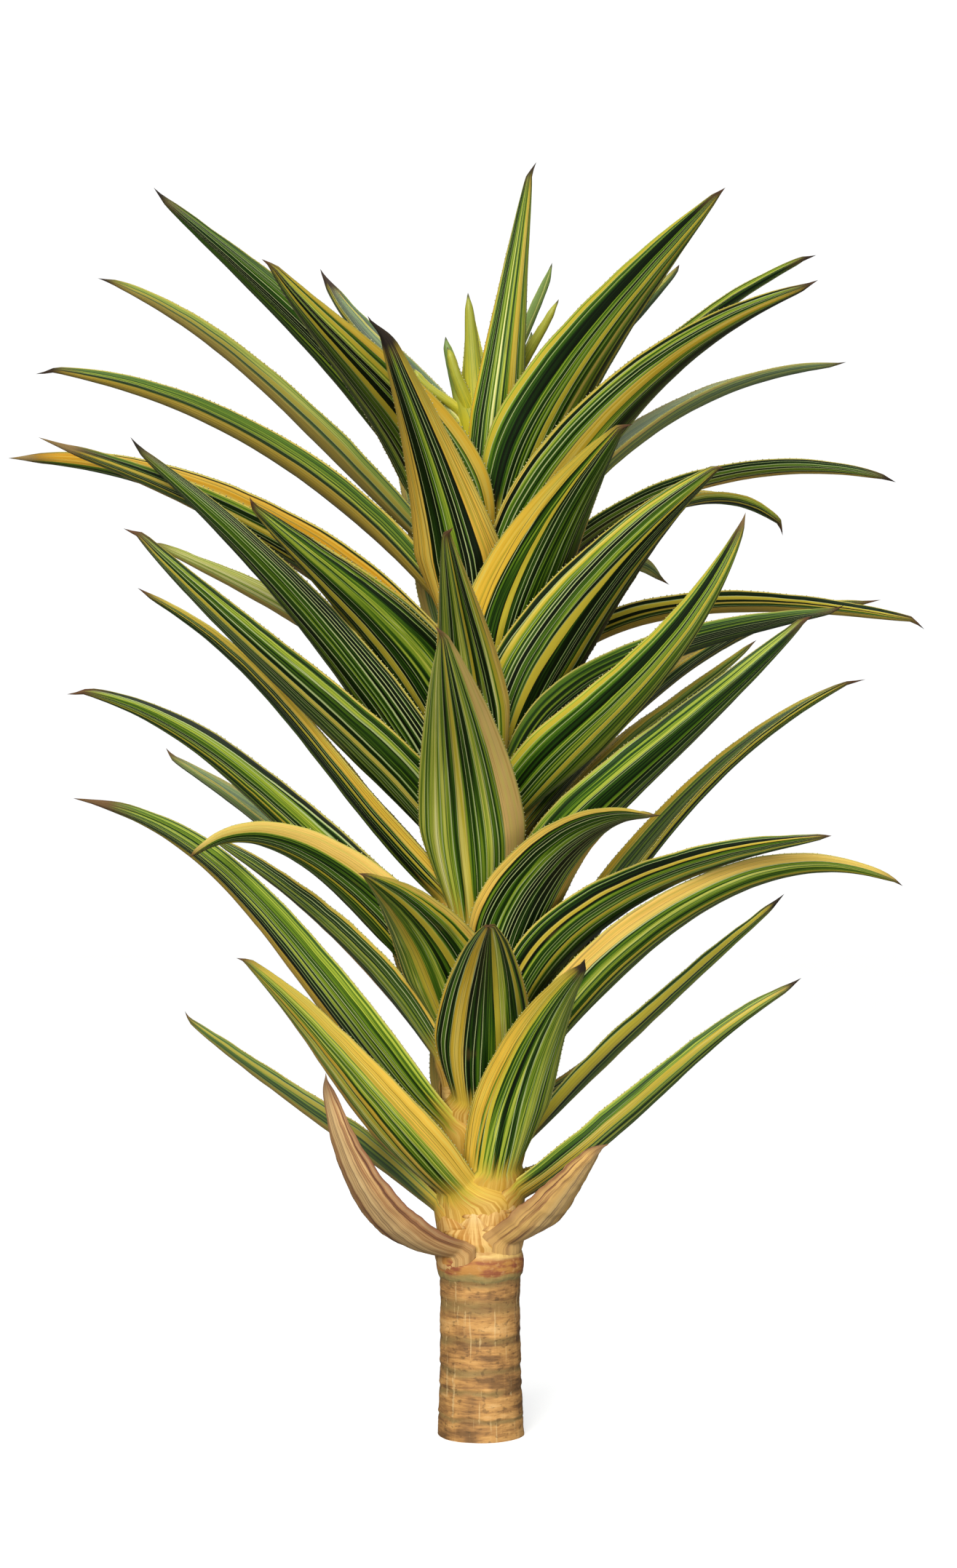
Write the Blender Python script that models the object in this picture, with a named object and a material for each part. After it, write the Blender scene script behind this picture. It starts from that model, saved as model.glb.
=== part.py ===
"""A tree aloe on one bare stem: the ringed stem, a spiral of channelled leaves, the young heart and two withered leaves.

Lengths are metres, angles are degrees, and heights count from the ground, where the stem is cut flat.
A heading is the way a leaf points, seen from above: 0 is right, 90 away, 180 left and 270 towards the viewer.
"""

import math

import bmesh
import bpy
import numpy as np

# The stem: a taper with a slight flare at the ground, a swollen collar under the last old sheaths, and ring scars.
STEM_HEIGHT = 1.098
STEM_RADIUS = 0.0455
STEM_TOP_RADIUS = 0.034
STEM_FLARE = 0.0035
FLARE_HEIGHT = 0.070
CROWN_START = 0.280
COLLAR_HEIGHT = 0.196
COLLAR_SPREAD = 0.016
COLLAR_SWELL = 0.0050
COLLAR_RINGS = (-1.6, -0.8, 0.0, 0.8, 1.6)
CROWN_RINGS = (CROWN_START, 0.5, 0.7, 0.9)
RING_SPACING = 0.0290
RING_FIRST = 0.030
RING_COUNT = 5
RING_DEPTH = 0.0012
RING_HALF_WIDTH = 0.0045
STEM_SIDES = 24

# The leaf spiral: each leaf stands a golden angle on from the last, a small step higher.
FIRST_HEADING = 280.0
GOLDEN_TURN = -137.5
FIRST_FOOT = 0.295
FOOT_STEP = 0.01377

# One leaf: how its foot clasps the stem, and how its section changes on the way to the tip.
GAP = 0.0003
FOOT_WRAP = 53.0
FOOT_HUG = 0.94
SEATING_ROUNDS = 5
SPOTS_A_FACET = 8
BLADE_FOLD = 34.0
TIP_FOLD = 50.0
WIDEST_AT = 0.24
TAPER = 1.4
TIP_WIDTH = 0.007
FOOT_THICKNESS = 0.0115
TIP_THICKNESS = 0.0058
FOOT_PULL = 0.34
TIP_PULL = 0.36
STATIONS = 12
STATION_CROWDING = 1.15
SHOULDER = 0.78
ROLL = 24.0
ROLLED_BY = 0.35

# Leaf by leaf from the ground up: place on the spiral, its turn off the spiral, its foot's lift off the spiral, how
# far from the stem's axis the tip is, the tip's height, the slopes at which it starts and ends, and the greatest
# width. The lengths here are millimetres.
LEAVES = {
    "front_low_right": (0, 14, 14, 280, 557, 60, 28, 96),
    "left_lowest": (1, 14, -49, 388, 467, 31, 34, 118),
    "right_lowest": (2, -5, -43, 366, 519, 26, 28, 88),
    "left_low_striped": (3, -6, -50, 341, 562, 34, 37, 112),
    "back_low_a": (4, 6, -35, 380, 540, 50, 15, 106),
    "left_long_thin": (6, 14, -20, 461, 727, 38, 8, 108),
    "right_low_dark_tip": (7, -14, -56, 400, 612, 38, 36, 108),
    "front_low": (8, 12, -20, 300, 600, 62, 22, 116),
    "back_low_b": (9, -8, -15, 400, 640, 56, 12, 106),
    "right_low_spear": (10, 2, -29, 479, 633, 58, -25, 112),
    "left_curled": (11, -3, 50, 352, 661, 58, -42, 112),
    "back_low_c": (12, 10, 10, 420, 690, 56, 12, 106),
    "front_right_low": (13, 10, 51, 337, 710, 68, -6, 114),
    "left_low_pale": (14, 14, -52, 324, 685, 52, 30, 118),
    "right_low_pale": (15, 5, -62, 500, 875, 57, 22, 92),
    "front_left_low": (16, 7, -62, 314, 651, 63, 18, 118),
    "back_mid_a": (17, -12, -32, 430, 780, 48, 12, 106),
    "right_low_broad": (18, 12, -55, 416, 688, 60, 8, 118),
    "left_mid_red_tip": (19, 2, -2, 468, 851, 29, 10, 106),
    "right_back_mid": (20, -14, 69, 419, 921, 52, 35, 104),
    "front_mid_broad": (21, -8, 8, 400, 900, 66, 34, 126),
    "left_back_mid": (22, 14, -72, 454, 783, 33, 26, 104),
    "right_mid_olive": (23, -14, 5, 382, 935, 46, 46, 112),
    "left_front_mid": (24, -12, 50, 429, 1026, 47, 46, 126),
    "front_right_mid": (26, 14, 54, 373, 1031, 40, 66, 104),
    "left_mid": (27, 14, -50, 392, 966, 42, 26, 128),
    "right_mid_long": (28, -10, 0, 508, 962, 50, 0, 104),
    "front_mid_narrow": (29, 12, 50, 380, 1006, 66, 34, 88),
    "back_mid_b": (30, -2, -12, 420, 1000, 62, 15, 106),
    "right_mid_dark": (31, 14, 31, 412, 940, 63, 10, 110),
    "left_mid_dark_tip": (32, 5, -37, 420, 1115, 58, 38, 116),
    "right_back_drooping": (33, -3, 27, 465, 1002, 66, -24, 104),
    "front_right_yellow": (34, 14, 94, 314, 1125, 66, 32, 118),
    "left_back_pale": (35, 5, 22, 454, 1040, 42, 24, 104),
    "right_arching": (36, -3, 35, 524, 933, 63, -8, 108),
    "left_front_dark": (37, -5, -26, 364, 1042, 60, 34, 104),
    "back_high_a": (38, 8, 8, 420, 1120, 52, 12, 102),
    "right_front_dark": (39, 2, -42, 342, 1087, 58, 30, 128),
    "left_golden_long": (40, -12, 52, 575, 1129, 36, 0, 110),
    "right_back_arching": (41, -7, 12, 469, 1059, 68, -34, 104),
    "front_high_peach": (42, -14, 32, 330, 1232, 70, 40, 108),
    "back_high_b": (43, -20, -33, 400, 1200, 54, 25, 104),
    "right_high_arching": (44, 14, 8, 484, 1094, 72, -15, 112),
    "left_broken_tip": (45, -14, -42, 505, 1118, 38, 16, 110),
    "back_high_c": (46, 11, 15, 400, 1260, 68, 28, 102),
    "right_high_front": (47, 18, 0, 483, 1256, 66, 8, 106),
    "left_high_edge_on": (48, 12, -4, 525, 1231, 48, 8, 98),
    "right_high_pale": (49, 4, 8, 496, 1257, 57, 6, 94),
    "left_front_high": (50, -8, 0, 403, 1282, 80, 36, 112),
    "left_back_high_thin": (51, 14, 76, 388, 1397, 66, 50, 92),
    "right_front_high": (52, -14, 28, 359, 1375, 66, 37, 112),
    "left_high_broad": (53, -5, 15, 371, 1412, 63, 42, 100),
    "right_back_high": (54, -14, 14, 327, 1381, 68, 45, 92),
    "front_upright": (55, 14, 22, 150, 1421, 76, 68, 66),
    "left_back_high_broad": (56, 14, -64, 517, 1364, 37, 22, 114),
    "right_top_thin": (57, 14, -68, 415, 1374, 60, 26, 88),
}

# A leaf that points sideways rolls round its midrib, so that its outer face turns to the viewer. These have a close
# neighbour and roll by only this share of it.
ROLL_SHARES = {
    "right_low_pale": 0.0,
    "back_low_b": 0.0,
    "left_low_pale": 0.7,
    "left_mid": 0.0,
    "left_front_mid": 0.3,
    "right_mid_long": 0.1,
    "right_mid_dark": 0.6,
    "left_mid_dark_tip": 0.3,
    "right_arching": 0.2,
    "left_broken_tip": 0.3,
    "right_back_arching": -0.4,
    "right_high_arching": 0.0,
    "right_high_front": 0.5,
    "right_high_pale": 0.0,
    "right_top_thin": 0.4,
    "left_low_striped": 0.5,
    "left_back_mid": 0.2,
    "right_back_drooping": 0.5,
    "left_high_edge_on": 0.6,
    "back_high_c": 0.0,
    "right_low_broad": 0.7,
    "front_right_low": 0.6,
}

# These are slimmer towards the tip than the others.
OWN_TAPERS = {
    "front_high_peach": 0.9,
    "front_upright": 1.0,
    "front_right_mid": 1.15,
    "front_mid_narrow": 1.1,
}

# The young leaves in the middle, nearly upright and fused to one core: heading, reach, tip height, end slope, width.
HEART_LEAVES = (
    (250, 40, 1298, 78, 38),
    (215, 48, 1250, 76, 44),
    (185, 66, 1207, 66, 34),
    (330, 100, 1289, 60, 30),
    (40, 110, 1352, 66, 34),
    (100, 70, 1300, 74, 52),
)
HEART_FOOT = 1.116
HEART_STEP = 0.004
HEART_RADIUS = 0.012
HEART_WRAP = 62.0
HEART_SLOPE = 80.0
HEART_TAPER = 0.8
HEART_THICKNESS = 0.0080
CORE_RADIUS = 0.024
CORE_HEIGHT = 0.062
CORE_PROFILE = ((0.0, 1.0), (0.5, 0.9), (1.0, 0.4))
CORE_SIDES = 12

# The withered leaves under the crown: heading, foot height, reach, tip height, the slopes at which each starts and
# ends, and its width. The lengths here are millimetres.
HUSKS = {
    "withered_left": (216, 211, 214, 430, 8, 80, 82),
    "withered_right": (324, 225, 172, 348, 24, 44, 80),
}
HUSK_THICKNESS = 0.0060

FINISHES = {
    "leaf green": ((0.13, 0.26, 0.06), 0.42),
    "leaf striped": ((0.42, 0.47, 0.12), 0.42),
    "heart yellow": ((0.62, 0.60, 0.16), 0.45),
    "withered tan": ((0.42, 0.23, 0.13), 0.85),
    "stem bark": ((0.50, 0.38, 0.24), 0.80),
}


def clear_scene():
    for thing in list(bpy.data.objects):
        bpy.data.objects.remove(thing, do_unlink=True)


def finish(name):
    """The named finish as a Principled material, made once."""
    found = bpy.data.materials.get(name)
    if found:
        return found
    colour, roughness = FINISHES[name]
    made = bpy.data.materials.new(name)
    made.use_nodes = True
    shader = made.node_tree.nodes["Principled BSDF"]
    shader.inputs["Base Color"].default_value = (*colour, 1.0)
    shader.inputs["Roughness"].default_value = roughness
    shader.inputs["Metallic"].default_value = 0.0
    return made


def solid_from_rings(name, rings, finish_name):
    """One closed object lofted through rings of the same count of points, each ring counter-clockwise about the way on."""
    mesh = bpy.data.meshes.new(name)
    bm = bmesh.new()
    loops = [[bm.verts.new(point) for point in ring] for ring in rings]
    count = len(rings[0])
    for low, high in zip(loops, loops[1:]):
        for k in range(count):
            after = (k + 1) % count
            bm.faces.new((low[k], low[after], high[after], high[k]))
    bm.faces.new(tuple(reversed(loops[0])))
    bm.faces.new(tuple(loops[-1]))
    bmesh.ops.recalc_face_normals(bm, faces=bm.faces)
    bm.to_mesh(mesh)
    bm.free()
    mesh.shade_smooth()
    mesh.set_sharp_from_angle(angle=math.radians(40))
    mesh.materials.append(finish(finish_name))
    made = bpy.data.objects.new(name, mesh)
    bpy.context.scene.collection.objects.link(made)
    return made


def stem_radius(height):
    """The stem's radius at a height: even below the crown, tapering inside it, flared at the ground, swollen at the collar."""
    up_crown = max(0.0, (height - CROWN_START) / (STEM_HEIGHT - CROWN_START))
    radius = STEM_RADIUS + (STEM_TOP_RADIUS - STEM_RADIUS) * up_crown
    radius += STEM_FLARE * math.exp(-height / FLARE_HEIGHT)
    radius += COLLAR_SWELL * math.exp(-(((height - COLLAR_HEIGHT) / COLLAR_SPREAD) ** 2))
    return radius


def stem():
    """The stem, turned from its radius, with a shallow groove at each ring scar."""
    profile = {0.0: 0.0, STEM_HEIGHT: 0.0}
    for ring in range(RING_COUNT):
        middle = RING_FIRST + ring * RING_SPACING
        profile[middle - RING_HALF_WIDTH] = 0.0
        profile[middle] = -RING_DEPTH
        profile[middle + RING_HALF_WIDTH] = 0.0
    for step in COLLAR_RINGS:
        profile[COLLAR_HEIGHT + step * COLLAR_SPREAD] = 0.0
    for height in CROWN_RINGS:
        profile[height] = 0.0
    rings = []
    for height in sorted(profile):
        radius = stem_radius(height) + profile[height]
        rings.append(
            [
                (radius * math.cos(angle), radius * math.sin(angle), height)
                for angle in (math.tau * k / STEM_SIDES for k in range(STEM_SIDES))
            ]
        )
    return solid_from_rings("stem", rings, "stem bark")


def midrib(start, end, first_slope, last_slope):
    """The leaf's middle line in its own upright plane, as a function of 0 to 1 that gives the point and the slope there."""
    start, end = np.array(start), np.array(end)
    chord = np.linalg.norm(end - start)
    lean_in = np.array((math.cos(math.radians(first_slope)), math.sin(math.radians(first_slope))))
    lean_out = np.array((math.cos(math.radians(last_slope)), math.sin(math.radians(last_slope))))
    first = start + FOOT_PULL * chord * lean_in
    second = end - TIP_PULL * chord * lean_out

    def at(t):
        point = (
            (1 - t) ** 3 * start + 3 * t * (1 - t) ** 2 * first + 3 * t**2 * (1 - t) * second + t**3 * end
        )
        way = 3 * (1 - t) ** 2 * (first - start) + 6 * t * (1 - t) * (second - first) + 3 * t**2 * (end - second)
        return point, math.atan2(way[1], way[0])

    return at


def blade_width(t, foot_width, width, taper):
    """Full width along the leaf: as wide as it clasps at the foot, widest a quarter of the way up, then drawn out."""
    if t < WIDEST_AT:
        return foot_width + (width - foot_width) * math.sin(math.pi / 2 * t / WIDEST_AT)
    left = 1 - ((t - WIDEST_AT) / (1 - WIDEST_AT)) ** taper
    return TIP_WIDTH + (width - TIP_WIDTH) * left


def fold_angle(t, foot_wrap):
    """Half the angle that the leaf's channel turns through: clasping at the foot, shallow in the blade, folded at the tip."""
    if t < WIDEST_AT:
        return foot_wrap + (BLADE_FOLD - foot_wrap) * (t / WIDEST_AT)
    return BLADE_FOLD + (TIP_FOLD - BLADE_FOLD) * ((t - WIDEST_AT) / (1 - WIDEST_AT)) ** 2


def leaf_rings(
    heading, foot_radius, foot, reach, tip, slopes, width, thickness, foot_wrap, roll=0.0, taper=TAPER
):
    """The rings of one channelled leaf, whose inner face starts foot_radius from the axis at the foot height."""
    at = midrib((foot_radius, foot), (reach, tip), *slopes)
    foot_width = 2 * math.radians(foot_wrap) * FOOT_HUG * foot_radius
    out = np.array((math.cos(math.radians(heading)), math.sin(math.radians(heading)), 0.0))
    side = np.array((-out[1], out[0], 0.0))
    up = np.array((0.0, 0.0, 1.0))
    rings = []
    for station in range(STATIONS):
        t = (station / (STATIONS - 1)) ** STATION_CROWDING
        point, slope = at(t)
        middle = point[0] * out + point[1] * up
        turned = math.radians(roll) * math.sin(math.pi / 2 * min(1.0, t / ROLLED_BY))
        upright = -math.sin(slope) * out + math.cos(slope) * up
        inward = math.cos(turned) * upright - math.sin(turned) * side
        sideways = math.cos(turned) * side + math.sin(turned) * upright
        fold = math.radians(fold_angle(t, foot_wrap))
        channel = blade_width(t, foot_width, width, taper) / 2 / fold
        thick = thickness + (TIP_THICKNESS - thickness) * t

        def across(share, depth):
            turn = fold * share
            return middle + channel * inward + (channel + depth) * (math.sin(turn) * sideways - math.cos(turn) * inward)

        inner = [across(share, 0.0) for share in (0.5, 0.0, -0.5)]
        outer = [
            across(-1.0, 0.0),
            across(-0.5, SHOULDER * thick),
            across(0.0, thick),
            across(0.5, SHOULDER * thick),
            across(1.0, 0.0),
        ]
        rings.append(inner + outer)
    return rings


def clasping_radius(foot, slope, foot_wrap):
    """How far from the axis a leaf's inner face starts, so that its facets clear the round stem by the gap and no more."""
    wrap, lean = math.radians(foot_wrap), math.radians(slope)
    radius = stem_radius(foot) + GAP
    for _ in range(SEATING_ROUNDS):
        channel = FOOT_HUG * radius
        corners = []
        for share in (0.0, 0.5, 1.0):
            rise = channel * (1 - math.cos(wrap * share))
            corners.append(
                np.array((radius - math.sin(lean) * rise, channel * math.sin(wrap * share), math.cos(lean) * rise))
            )
        clear = min(
            math.hypot(*spot[:2]) - stem_radius(foot + spot[2])
            for low, high in zip(corners, corners[1:])
            for spot in (low + (high - low) * step / SPOTS_A_FACET for step in range(SPOTS_A_FACET + 1))
        )
        radius += GAP - clear
    return radius


def leaves():
    """Every leaf of the spiral, in its own place."""
    for name, (place, turn, lift, reach, tip, first_slope, end_slope, width) in LEAVES.items():
        heading = FIRST_HEADING + GOLDEN_TURN * place + turn
        foot = FIRST_FOOT + FOOT_STEP * place + lift / 1000
        rings = leaf_rings(
            heading,
            clasping_radius(foot, first_slope, FOOT_WRAP),
            foot,
            reach / 1000,
            tip / 1000,
            (first_slope, end_slope),
            width / 1000,
            FOOT_THICKNESS,
            FOOT_WRAP,
            -ROLL * math.cos(math.radians(heading)) * ROLL_SHARES.get(name, 1.0),
            OWN_TAPERS.get(name, TAPER),
        )
        solid_from_rings("leaf_" + name, rings, "leaf striped" if place % 2 else "leaf green")


def husks():
    """The withered leaves, thin and narrow, that stand off the stem below the crown."""
    for name, (heading, foot, reach, tip, first_slope, end_slope, width) in HUSKS.items():
        foot_height = foot / 1000
        rings = leaf_rings(
            heading,
            clasping_radius(foot_height, first_slope, FOOT_WRAP),
            foot_height,
            reach / 1000,
            tip / 1000,
            (first_slope, end_slope),
            width / 1000,
            HUSK_THICKNESS,
            FOOT_WRAP,
        )
        solid_from_rings(name, rings, "withered tan")


def heart():
    """The young leaves, joined to the core that they grow from."""
    core_rings = []
    for height, share in CORE_PROFILE:
        radius = CORE_RADIUS * share
        level = STEM_HEIGHT + GAP + CORE_HEIGHT * height
        core_rings.append(
            [
                (radius * math.cos(angle), radius * math.sin(angle), level)
                for angle in (math.tau * k / CORE_SIDES for k in range(CORE_SIDES))
            ]
        )
    core = solid_from_rings("heart", core_rings, "heart yellow")
    parts = bpy.data.collections.new("heart parts")
    bpy.context.scene.collection.children.link(parts)
    for number, (heading, reach, tip, end_slope, width) in enumerate(HEART_LEAVES):
        rings = leaf_rings(
            heading,
            HEART_RADIUS,
            HEART_FOOT + HEART_STEP * number,
            reach / 1000,
            tip / 1000,
            (HEART_SLOPE, end_slope),
            width / 1000,
            HEART_THICKNESS,
            HEART_WRAP,
            taper=HEART_TAPER,
        )
        young = solid_from_rings(f"heart_leaf_{number}", rings, "heart yellow")
        bpy.context.scene.collection.objects.unlink(young)
        parts.objects.link(young)
    union = core.modifiers.new("join", "BOOLEAN")
    union.operation = "UNION"
    union.operand_type = "COLLECTION"
    union.collection = parts
    union.solver = "EXACT"
    graph = bpy.context.evaluated_depsgraph_get()
    joined = bpy.data.meshes.new_from_object(core.evaluated_get(graph))
    core.modifiers.clear()
    core.data = joined
    for young in list(parts.objects):
        bpy.data.objects.remove(young, do_unlink=True)
    bpy.data.collections.remove(parts)


clear_scene()
stem()
leaves()
husks()
heart()
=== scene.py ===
# %% [markdown]
# # Dressing a tree aloe
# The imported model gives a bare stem, fifty-six leaves, the young heart and two withered leaves as plain
# faceted solids. This lesson grows a finer mesh for each of them, by the same rule, and paints it. Lengths
# are in metres, and the ground is at height 0. The frame comes first, because each mesh stands in for one of
# its nodes.

# %% Load the frame and measure it
import math
import random

import bmesh
import bpy
import numpy as np
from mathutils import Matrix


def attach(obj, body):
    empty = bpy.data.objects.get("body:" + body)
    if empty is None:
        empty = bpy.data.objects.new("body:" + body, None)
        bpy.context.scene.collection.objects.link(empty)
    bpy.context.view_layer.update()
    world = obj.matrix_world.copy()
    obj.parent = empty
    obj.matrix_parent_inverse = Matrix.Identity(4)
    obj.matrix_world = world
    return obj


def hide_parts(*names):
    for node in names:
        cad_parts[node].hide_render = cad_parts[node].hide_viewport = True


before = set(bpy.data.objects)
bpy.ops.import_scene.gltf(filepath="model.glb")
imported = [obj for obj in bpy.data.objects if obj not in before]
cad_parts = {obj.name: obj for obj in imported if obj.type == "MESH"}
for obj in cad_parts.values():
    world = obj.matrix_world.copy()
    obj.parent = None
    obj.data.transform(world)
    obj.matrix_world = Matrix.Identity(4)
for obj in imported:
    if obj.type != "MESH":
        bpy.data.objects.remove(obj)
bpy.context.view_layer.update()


# %% [markdown]
# ## The camera
# The photograph looks at the plant level and from a few metres away, and takes in 1.79 m of height at the
# stem. The lens follows from that height and the distance.

# %% Place the camera
CAMERA_AWAY = 3.2
FRAME_MIDDLE = (-0.0021, 0.7426)
FRAME_HEIGHT = 1.793
SENSOR = 36.0


def placed(name, data, spot=(0.0, 0.0, 0.0), turn=(0.0, 0.0, 0.0)):
    """A new object in the scene."""
    made = bpy.data.objects.new(name, data)
    made.location, made.rotation_euler = spot, turn
    bpy.context.scene.collection.objects.link(made)
    return made


camera_spot = (FRAME_MIDDLE[0], -CAMERA_AWAY, FRAME_MIDDLE[1])
camera = placed("camera", bpy.data.cameras.new("camera"), camera_spot, (math.pi / 2, 0.0, 0.0))
camera.data.sensor_width = SENSOR
camera.data.lens = SENSOR * CAMERA_AWAY / FRAME_HEIGHT
bpy.context.scene.camera = camera
print("lens", round(camera.data.lens, 2), "mm")

# %% [markdown]
# ## Colours
# A colour picked on a screen is stored in a curved scale, and Blender's light sums need it straight.
# One helper turns the usual six-letter code into the straight numbers.

# %% From a screen colour to Blender's numbers
def paint(code):
    def straight(part):
        share = int(part, 16) / 255
        return share / 12.92 if share <= 0.04045 else ((share + 0.055) / 1.055) ** 2.4

    return (straight(code[0:2]), straight(code[2:4]), straight(code[4:6]), 1.0)


print("leaf green in straight numbers", [round(value, 3) for value in paint("3f5f2a")])

# %% [markdown]
# ## A bench for node trees
# Shapes and finishes are both made from nodes here. A `Wire` stands for one socket, and Python's own
# operators work on it: `a * 2 + b` adds two Math nodes. A `Bench` holds one tree and adds any other node,
# its settings first and then the values or wires of its sockets.

# %% Wire and Bench
def operator(operation, swapped=False):
    """A method that adds the Math node which stands for one of Python's operators."""

    def method(self, *others):
        return self.bench.math(operation, *((*others, self) if swapped else (self, *others)))

    return method


class Wire:
    """A socket that takes part in sums."""

    def __init__(self, bench, socket):
        self.bench, self.socket = bench, socket

    __add__ = __radd__ = operator("ADD")
    __sub__, __rsub__ = operator("SUBTRACT"), operator("SUBTRACT", swapped=True)
    __mul__ = __rmul__ = operator("MULTIPLY")
    __truediv__, __pow__, __abs__ = operator("DIVIDE"), operator("POWER"), operator("ABSOLUTE")


class Bench:
    """One node tree, and the way that nodes are added to it."""

    def __init__(self, tree):
        self.tree = tree

    def node(self, kind, settings=None, values=None):
        made = self.tree.nodes.new(kind)
        for name, value in (settings or {}).items():
            if name == "stops":
                self.set_stops(made.color_ramp, value)
            else:
                setattr(made, name, value)
        for key, value in (values or {}).items():
            self.feed(made.inputs[key], value)
        return made

    def feed(self, socket, value):
        if isinstance(value, Wire):
            self.tree.links.new(value.socket, socket)
        else:
            socket.default_value = value

    def set_stops(self, ramp, stops):
        while len(ramp.elements) < len(stops):
            ramp.elements.new(1.0)
        for element, (position, code) in zip(ramp.elements, stops):
            element.position, element.color = position, paint(code)

    def make(self, kind, settings=None, values=None, out=0):
        return Wire(self, self.node(kind, settings, values).outputs[out])

    def math(self, operation, *values):
        return self.make("ShaderNodeMath", {"operation": operation}, dict(enumerate(values)))

    def cos_sin(self, angle):
        return self.math("COSINE", angle), self.math("SINE", angle)

    def ease(self, value, low, high):
        """0 at low and 1 at high, with a soft start and end."""
        values = {"Value": value, "From Min": low, "From Max": high}
        return self.make("ShaderNodeMapRange", {"interpolation_type": "SMOOTHSTEP"}, values)

    def vector(self, x, y, z):
        return self.make("ShaderNodeCombineXYZ", values={0: x, 1: y, 2: z})

    def split(self, kind, value):
        """The parts of a vector, with kind XYZ, or of a colour, with kind Color."""
        made = self.node("ShaderNodeSeparate" + kind, None, {0: value})
        return [Wire(self, socket) for socket in made.outputs]

    def noise(self, place, stretch=(1.0, 1.0, 1.0), detail=2.0, roughness=0.5):
        """Noise at a place of three parts, each multiplied by its own stretch."""
        vector = self.vector(*(part * factor for part, factor in zip(place, stretch)))
        values = {"Vector": vector, "Scale": 1.0, "Detail": detail, "Roughness": roughness}
        return self.make("ShaderNodeTexNoise", {"noise_dimensions": "3D"}, values)

    def cells(self, place, feature, out, scale=5.0):
        """Cells of uneven width along a line."""
        settings = {"voronoi_dimensions": "1D", "feature": feature}
        return self.make("ShaderNodeTexVoronoi", settings, {"W": place, "Scale": scale}, out)


print("wires and benches ready")

# %% [markdown]
# ## Finishes in layers
# Most skins here are one colour with others laid over it, each through a mask between 0 and 1. A `Finish`
# is a bench whose tree is a material's, and `layered` takes the layers from the bottom up.

# %% Finish
class Finish(Bench):
    """A material's tree, which ends in its Principled shader."""

    def __init__(self, name):
        self.made = bpy.data.materials.new(name)
        self.made.use_nodes = True
        super().__init__(self.made.node_tree)
        self.shader = self.tree.nodes["Principled BSDF"]

    def stored(self, *names):
        """The numbers that the mesh stores under these names."""
        return [self.make("ShaderNodeAttribute", {"attribute_name": name}, out=2) for name in names]

    def spot(self):
        """The place on the object, in three parts."""
        return self.split("XYZ", self.make("ShaderNodeTexCoord", out=3))

    def ramp(self, value, *stops):
        return self.make("ShaderNodeValToRGB", {"stops": stops}, {0: value})

    def blend(self, share, first, second, how="MIX"):
        """Two colours mixed, each a wire or a code."""
        first, second = (paint(colour) if isinstance(colour, str) else colour for colour in (first, second))
        settings = {"data_type": "RGBA", "blend_type": how}
        return self.make("ShaderNodeMix", settings, {0: share, 6: first, 7: second}, out=2)

    def layered(self, colour, *layers):
        for mask, over in layers:
            colour = self.blend(mask, colour, over)
        return colour

    def done(self, colour, rough, relief=None, distance=0.0, strength=0.5):
        """The material, once its colour, its roughness and its small relief are fed in."""
        self.feed(self.shader.inputs["Base Color"], colour)
        self.feed(self.shader.inputs["Roughness"], rough)
        if relief is not None:
            sizes = {"Height": relief, "Distance": distance, "Strength": strength}
            self.feed(self.shader.inputs["Normal"], self.make("ShaderNodeBump", values=sizes))
        print(self.made.name, "has", len(self.tree.nodes), "nodes")
        return self.made


print("finishes ready")

# %% [markdown]
# ## The rule of the plant
# The leaves stand on a spiral, each a golden angle on from the last and a small step higher. The numbers are
# the solid model's own, so that every finer leaf lies on its solid.

# %% The stem's taper and the spiral's numbers
STEM_HEIGHT = 1.098
STEM_RADIUS = 0.0455
STEM_TOP_RADIUS = 0.034
STEM_FLARE = 0.0035
FLARE_HEIGHT = 0.070
CROWN_START = 0.280
COLLAR_HEIGHT = 0.196
COLLAR_SPREAD = 0.016
COLLAR_SWELL = 0.0050

FIRST_HEADING = 280.0
GOLDEN_TURN = -137.5
FIRST_FOOT = 0.295
FOOT_STEP = 0.01377


def stem_radius(height):
    up_crown = max(0.0, (height - CROWN_START) / (STEM_HEIGHT - CROWN_START))
    radius = STEM_RADIUS + (STEM_TOP_RADIUS - STEM_RADIUS) * up_crown
    radius += STEM_FLARE * math.exp(-height / FLARE_HEIGHT)
    radius += COLLAR_SWELL * math.exp(-(((height - COLLAR_HEIGHT) / COLLAR_SPREAD) ** 2))
    return radius


print("stem radius at the ground and the top", [round(stem_radius(end), 4) for end in (0.0, STEM_HEIGHT)])

# %% [markdown]
# Each leaf has a row: its place on the spiral, its turn off it, its foot's lift, how far out its tip is, the
# tip's height, its first and last slopes, and its width (in millimetres and degrees). Its looks follow, as
# shares of 1: how dark its stripes are, how wide the golden band is on the margin to its left and to its
# right as one looks along it to the tip, how peach that band is, how much of the tip has dried and how dark,
# and how strong the blue bloom is.

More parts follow.
